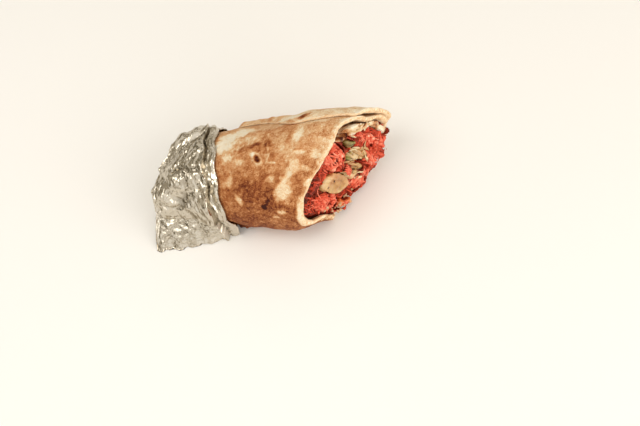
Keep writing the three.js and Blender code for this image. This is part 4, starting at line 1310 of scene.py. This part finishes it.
def kitchen_foil():
    """Rolled aluminium foil, crumpled: bright mirror facets, faintly warm, with fine wrinkles,
    and painted shade darkening the folds."""
    material, tree, shader, spot = new_material("kitchen_foil", Metallic=1.0)
    creased = add(tree, "ShaderNodeAttribute", attribute_name="creased").outputs["Fac"]
    # painted shade: the colour turns dark olive grey where the crease shade mask is high
    metal = add(tree, "ShaderNodeMix", {
        0: creased, 6: paint("#D0C7B7"), 7: paint("#645944")}, data_type="RGBA")
    wrinkle = add(tree, "ShaderNodeTexNoise", {
        "Vector": spot, "Scale": per(1.5), "Detail": 3.0, "Roughness": 0.6})
    haze = add(tree, "ShaderNodeMapRange", {0: wrinkle, 1: 0.3, 2: 0.7, 3: 0.1, 4: 0.24})
    relief = add(tree, "ShaderNodeBump", {"Height": wrinkle, "Strength": 0.4, "Distance": 0.35 * MM})
    feed(tree, shader, {"Base Color": metal, "Roughness": haze, "Normal": relief})
    return material


# ---- camera, floor and light ----

LENS = 60
SENSOR = 36
DISTANCE = 608
LOOK = {"down": 62, "aside": 11, "tilt": -1.5}
PICTURE = {"width": 640, "height": 426}
CUT_MIDDLE_IN_PICTURE = (348, 168.5)


def make_camera():
    """Stands where the photograph was taken: the middle of the cut falls on its own pixel."""
    back = np.array([0, -cos(LOOK["down"]), sin(LOOK["down"])])
    upward = np.array([0, sin(LOOK["down"]), cos(LOOK["down"])])
    along = np.array([1, 0, 0])
    towards = sin(LOOK["aside"]) * along + cos(LOOK["aside"]) * back
    level = cos(LOOK["aside"]) * along - sin(LOOK["aside"]) * back
    right = cos(LOOK["tilt"]) * level - sin(LOOK["tilt"]) * upward
    up = sin(LOOK["tilt"]) * level + cos(LOOK["tilt"]) * upward
    focal = LENS / SENSOR * PICTURE["width"]
    target = ROLL_IN_FRAME + np.array([0, 0, AXIS_AT_CUT])
    shift_right = (CUT_MIDDLE_IN_PICTURE[0] - PICTURE["width"] / 2) / focal * DISTANCE
    shift_up = (PICTURE["height"] / 2 - CUT_MIDDLE_IN_PICTURE[1]) / focal * DISTANCE
    place_at = target - right * shift_right - up * shift_up + towards * DISTANCE
    bpy.ops.object.camera_add()
    camera = bpy.context.object
    axes = np.stack([right, up, towards], 1)
    camera.matrix_world = Matrix.Translation(Vector(place_at * MM)) @ Matrix(axes.tolist()).to_4x4()
    camera.data.lens = LENS
    camera.data.sensor_width = SENSOR
    bpy.context.scene.camera = camera


def make_floor():
    """A plain floor with a matt, nearly white glaze, very faintly uneven in tone."""
    bpy.ops.mesh.primitive_plane_add(size=6)
    floor = bpy.context.object
    floor.name = "floor"
    material, tree, shader, spot = new_material("matt_glaze", Roughness=0.6)
    tint = add(tree, "ShaderNodeTexNoise", {"Vector": spot, "Scale": per(400), "Detail": 1.0})
    colour = add(tree, "ShaderNodeValToRGB", {0: tint}, stops=[(0.3, "#F0EEEA"), (0.7, "#F3F1EE")])
    feed(tree, shader, {"Base Color": colour})
    floor.data.materials.append(material)


def soft_light(name, place_at, size, watts, tint):
    """A square light, aimed at the roll."""
    bpy.ops.object.light_add(type="AREA", location=Vector(place_at) * MM)
    light = bpy.context.object
    light.name = name
    light.data.shape = "SQUARE"
    light.data.size = size * MM
    light.data.energy = watts
    light.data.color = paint(tint)[:3]
    aim = Vector((0, 0, 25)) * MM - light.location
    light.rotation_euler = aim.to_track_quat("-Z", "Y").to_euler()


def make_light():
    """A window high in front on the left, a broad dim one low on the right, and a bright room of
    pale and darker walls, which gives most of the light and which the foil mirrors."""
    soft_light("window", place_at=(-280, -160, 640), size=420, watts=1.5, tint="#FFFCF6")
    soft_light("fill", place_at=(620, -260, 300), size=600, watts=2.1, tint="#FFFAF2")
    world = bpy.data.worlds.new("studio")
    bpy.context.scene.world = world
    world.use_nodes = True
    tree = world.node_tree
    way = add(tree, "ShaderNodeTexCoord").outputs["Generated"]
    ways = add(tree, "ShaderNodeSeparateXYZ", {0: way}).outputs
    tone = add(tree, "ShaderNodeTexNoise", {"Vector": way, "Scale": 3.0, "Detail": 2.0})
    for axis, weight in (("Z", 0.12), ("X", 0.12), ("Y", -0.06)):
        tone = add(tree, "ShaderNodeMath", {0: ways[axis], 1: weight, 2: tone}, operation="MULTIPLY_ADD")
    sky = add(tree, "ShaderNodeValToRGB", {0: tone}, stops=[
        (0.32, "#3E382C"), (0.45, "#93886F"), (0.54, "#DFD7CA"), (0.66, "#FFFDF9")])
    feed(tree, tree.nodes["Background"], {"Color": sky, "Strength": 1.12})
    bpy.context.scene.view_settings.view_transform = "Standard"


# ---- the whole roll ----

def dress(piece, material, slot, *nodes, crease=None):
    """Smooths a piece, gives it its finish and says what it rides on and which nodes it replaces."""
    shade(piece, crease)
    piece.data.materials.clear()
    piece.data.materials.append(material)
    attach(piece, "root")
    if nodes:
        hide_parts(*nodes)


make_camera()
make_floor()
make_light()

bread = make_bread()
core = make_core()
chicken = [make_chicken(f"chicken_{i}", 70 + 7 * i) for i in range(1, 7)]
slices = {name: make_slice(name, 130 + 5 * i) for i, name in enumerate(SLICES)}
ground = surfaces([core, *chicken, *slices.values(), bread])
shreds = make_shreds(ground)
meat_crumbs = make_crumbs(
    "chicken_crumbs", ground, count=150, sizes=(0.45, 1.1), seed=23, most=0.9,
    kept_off=("onion", "pepper", "naan"))
strips = make_onion_strands(ground)
speck = make_crumbs(
    "onion_speck", ground, count=1, sizes=(0.5, 0.55), seed=26, low=193, high=194, least=0.29, most=0.295)
spice = make_crumbs("spice_specks", ground, count=18, sizes=(0.2, 0.4), seed=24, most=0.95)
bread_crumbs = make_crumbs(
    "naan_crumbs", ground, count=34, sizes=(0.4, 1.1), seed=25, low=212, high=282, least=0.78, most=1.06,
    kept_off=("onion",))
note(bread_crumbs, "brown", 0.45)
note(bread_crumbs, "crumb", 0.45)

flatbread = griddled_flatbread()
dress(bread, flatbread, "naan", "naan")
dress(bread_crumbs, flatbread, "naan")
spiced_meat = tandoori_chicken()
for piece in (core, *chicken):
    dress(piece, spiced_meat, "chicken", piece.name.replace("_form", ""))
dress(shreds, spiced_meat, "chicken")
dress(meat_crumbs, spiced_meat, "chicken")
burnt = charred_spice()
dress(spice, burnt, "chicken")
dress(speck, burnt, "chicken")
onion_flesh = cooked_vegetable("cooked_onion", 0.3, [
    (0.0, "#8E6532"), (0.25, "#B58C52"), (0.5, "#D0B07A"), (0.75, "#E6D0A2"), (1.0, "#F6EBCB")])
finishes = {
    "pepper_1": cooked_vegetable("cooked_green_pepper_skin", 0.28, [
        (0.0, "#35300F"), (0.4, "#615A22"), (0.7, "#857F3C"), (1.0, "#B4AD66")]),
    "pepper_2": cooked_vegetable("cooked_green_pepper_flesh", 0.3, [
        (0.0, "#7F7C3C"), (0.4, "#B0AC66"), (0.7, "#CCC98A"), (1.0, "#E8E6BC")]),
}
dress(strips, onion_flesh, "onion")
for name, piece in slices.items():
    dress(piece, finishes.get(name, onion_flesh), name.split("_")[0], name)

dress(make_foil(), kitchen_foil(), "foil", "foil", crease=15)
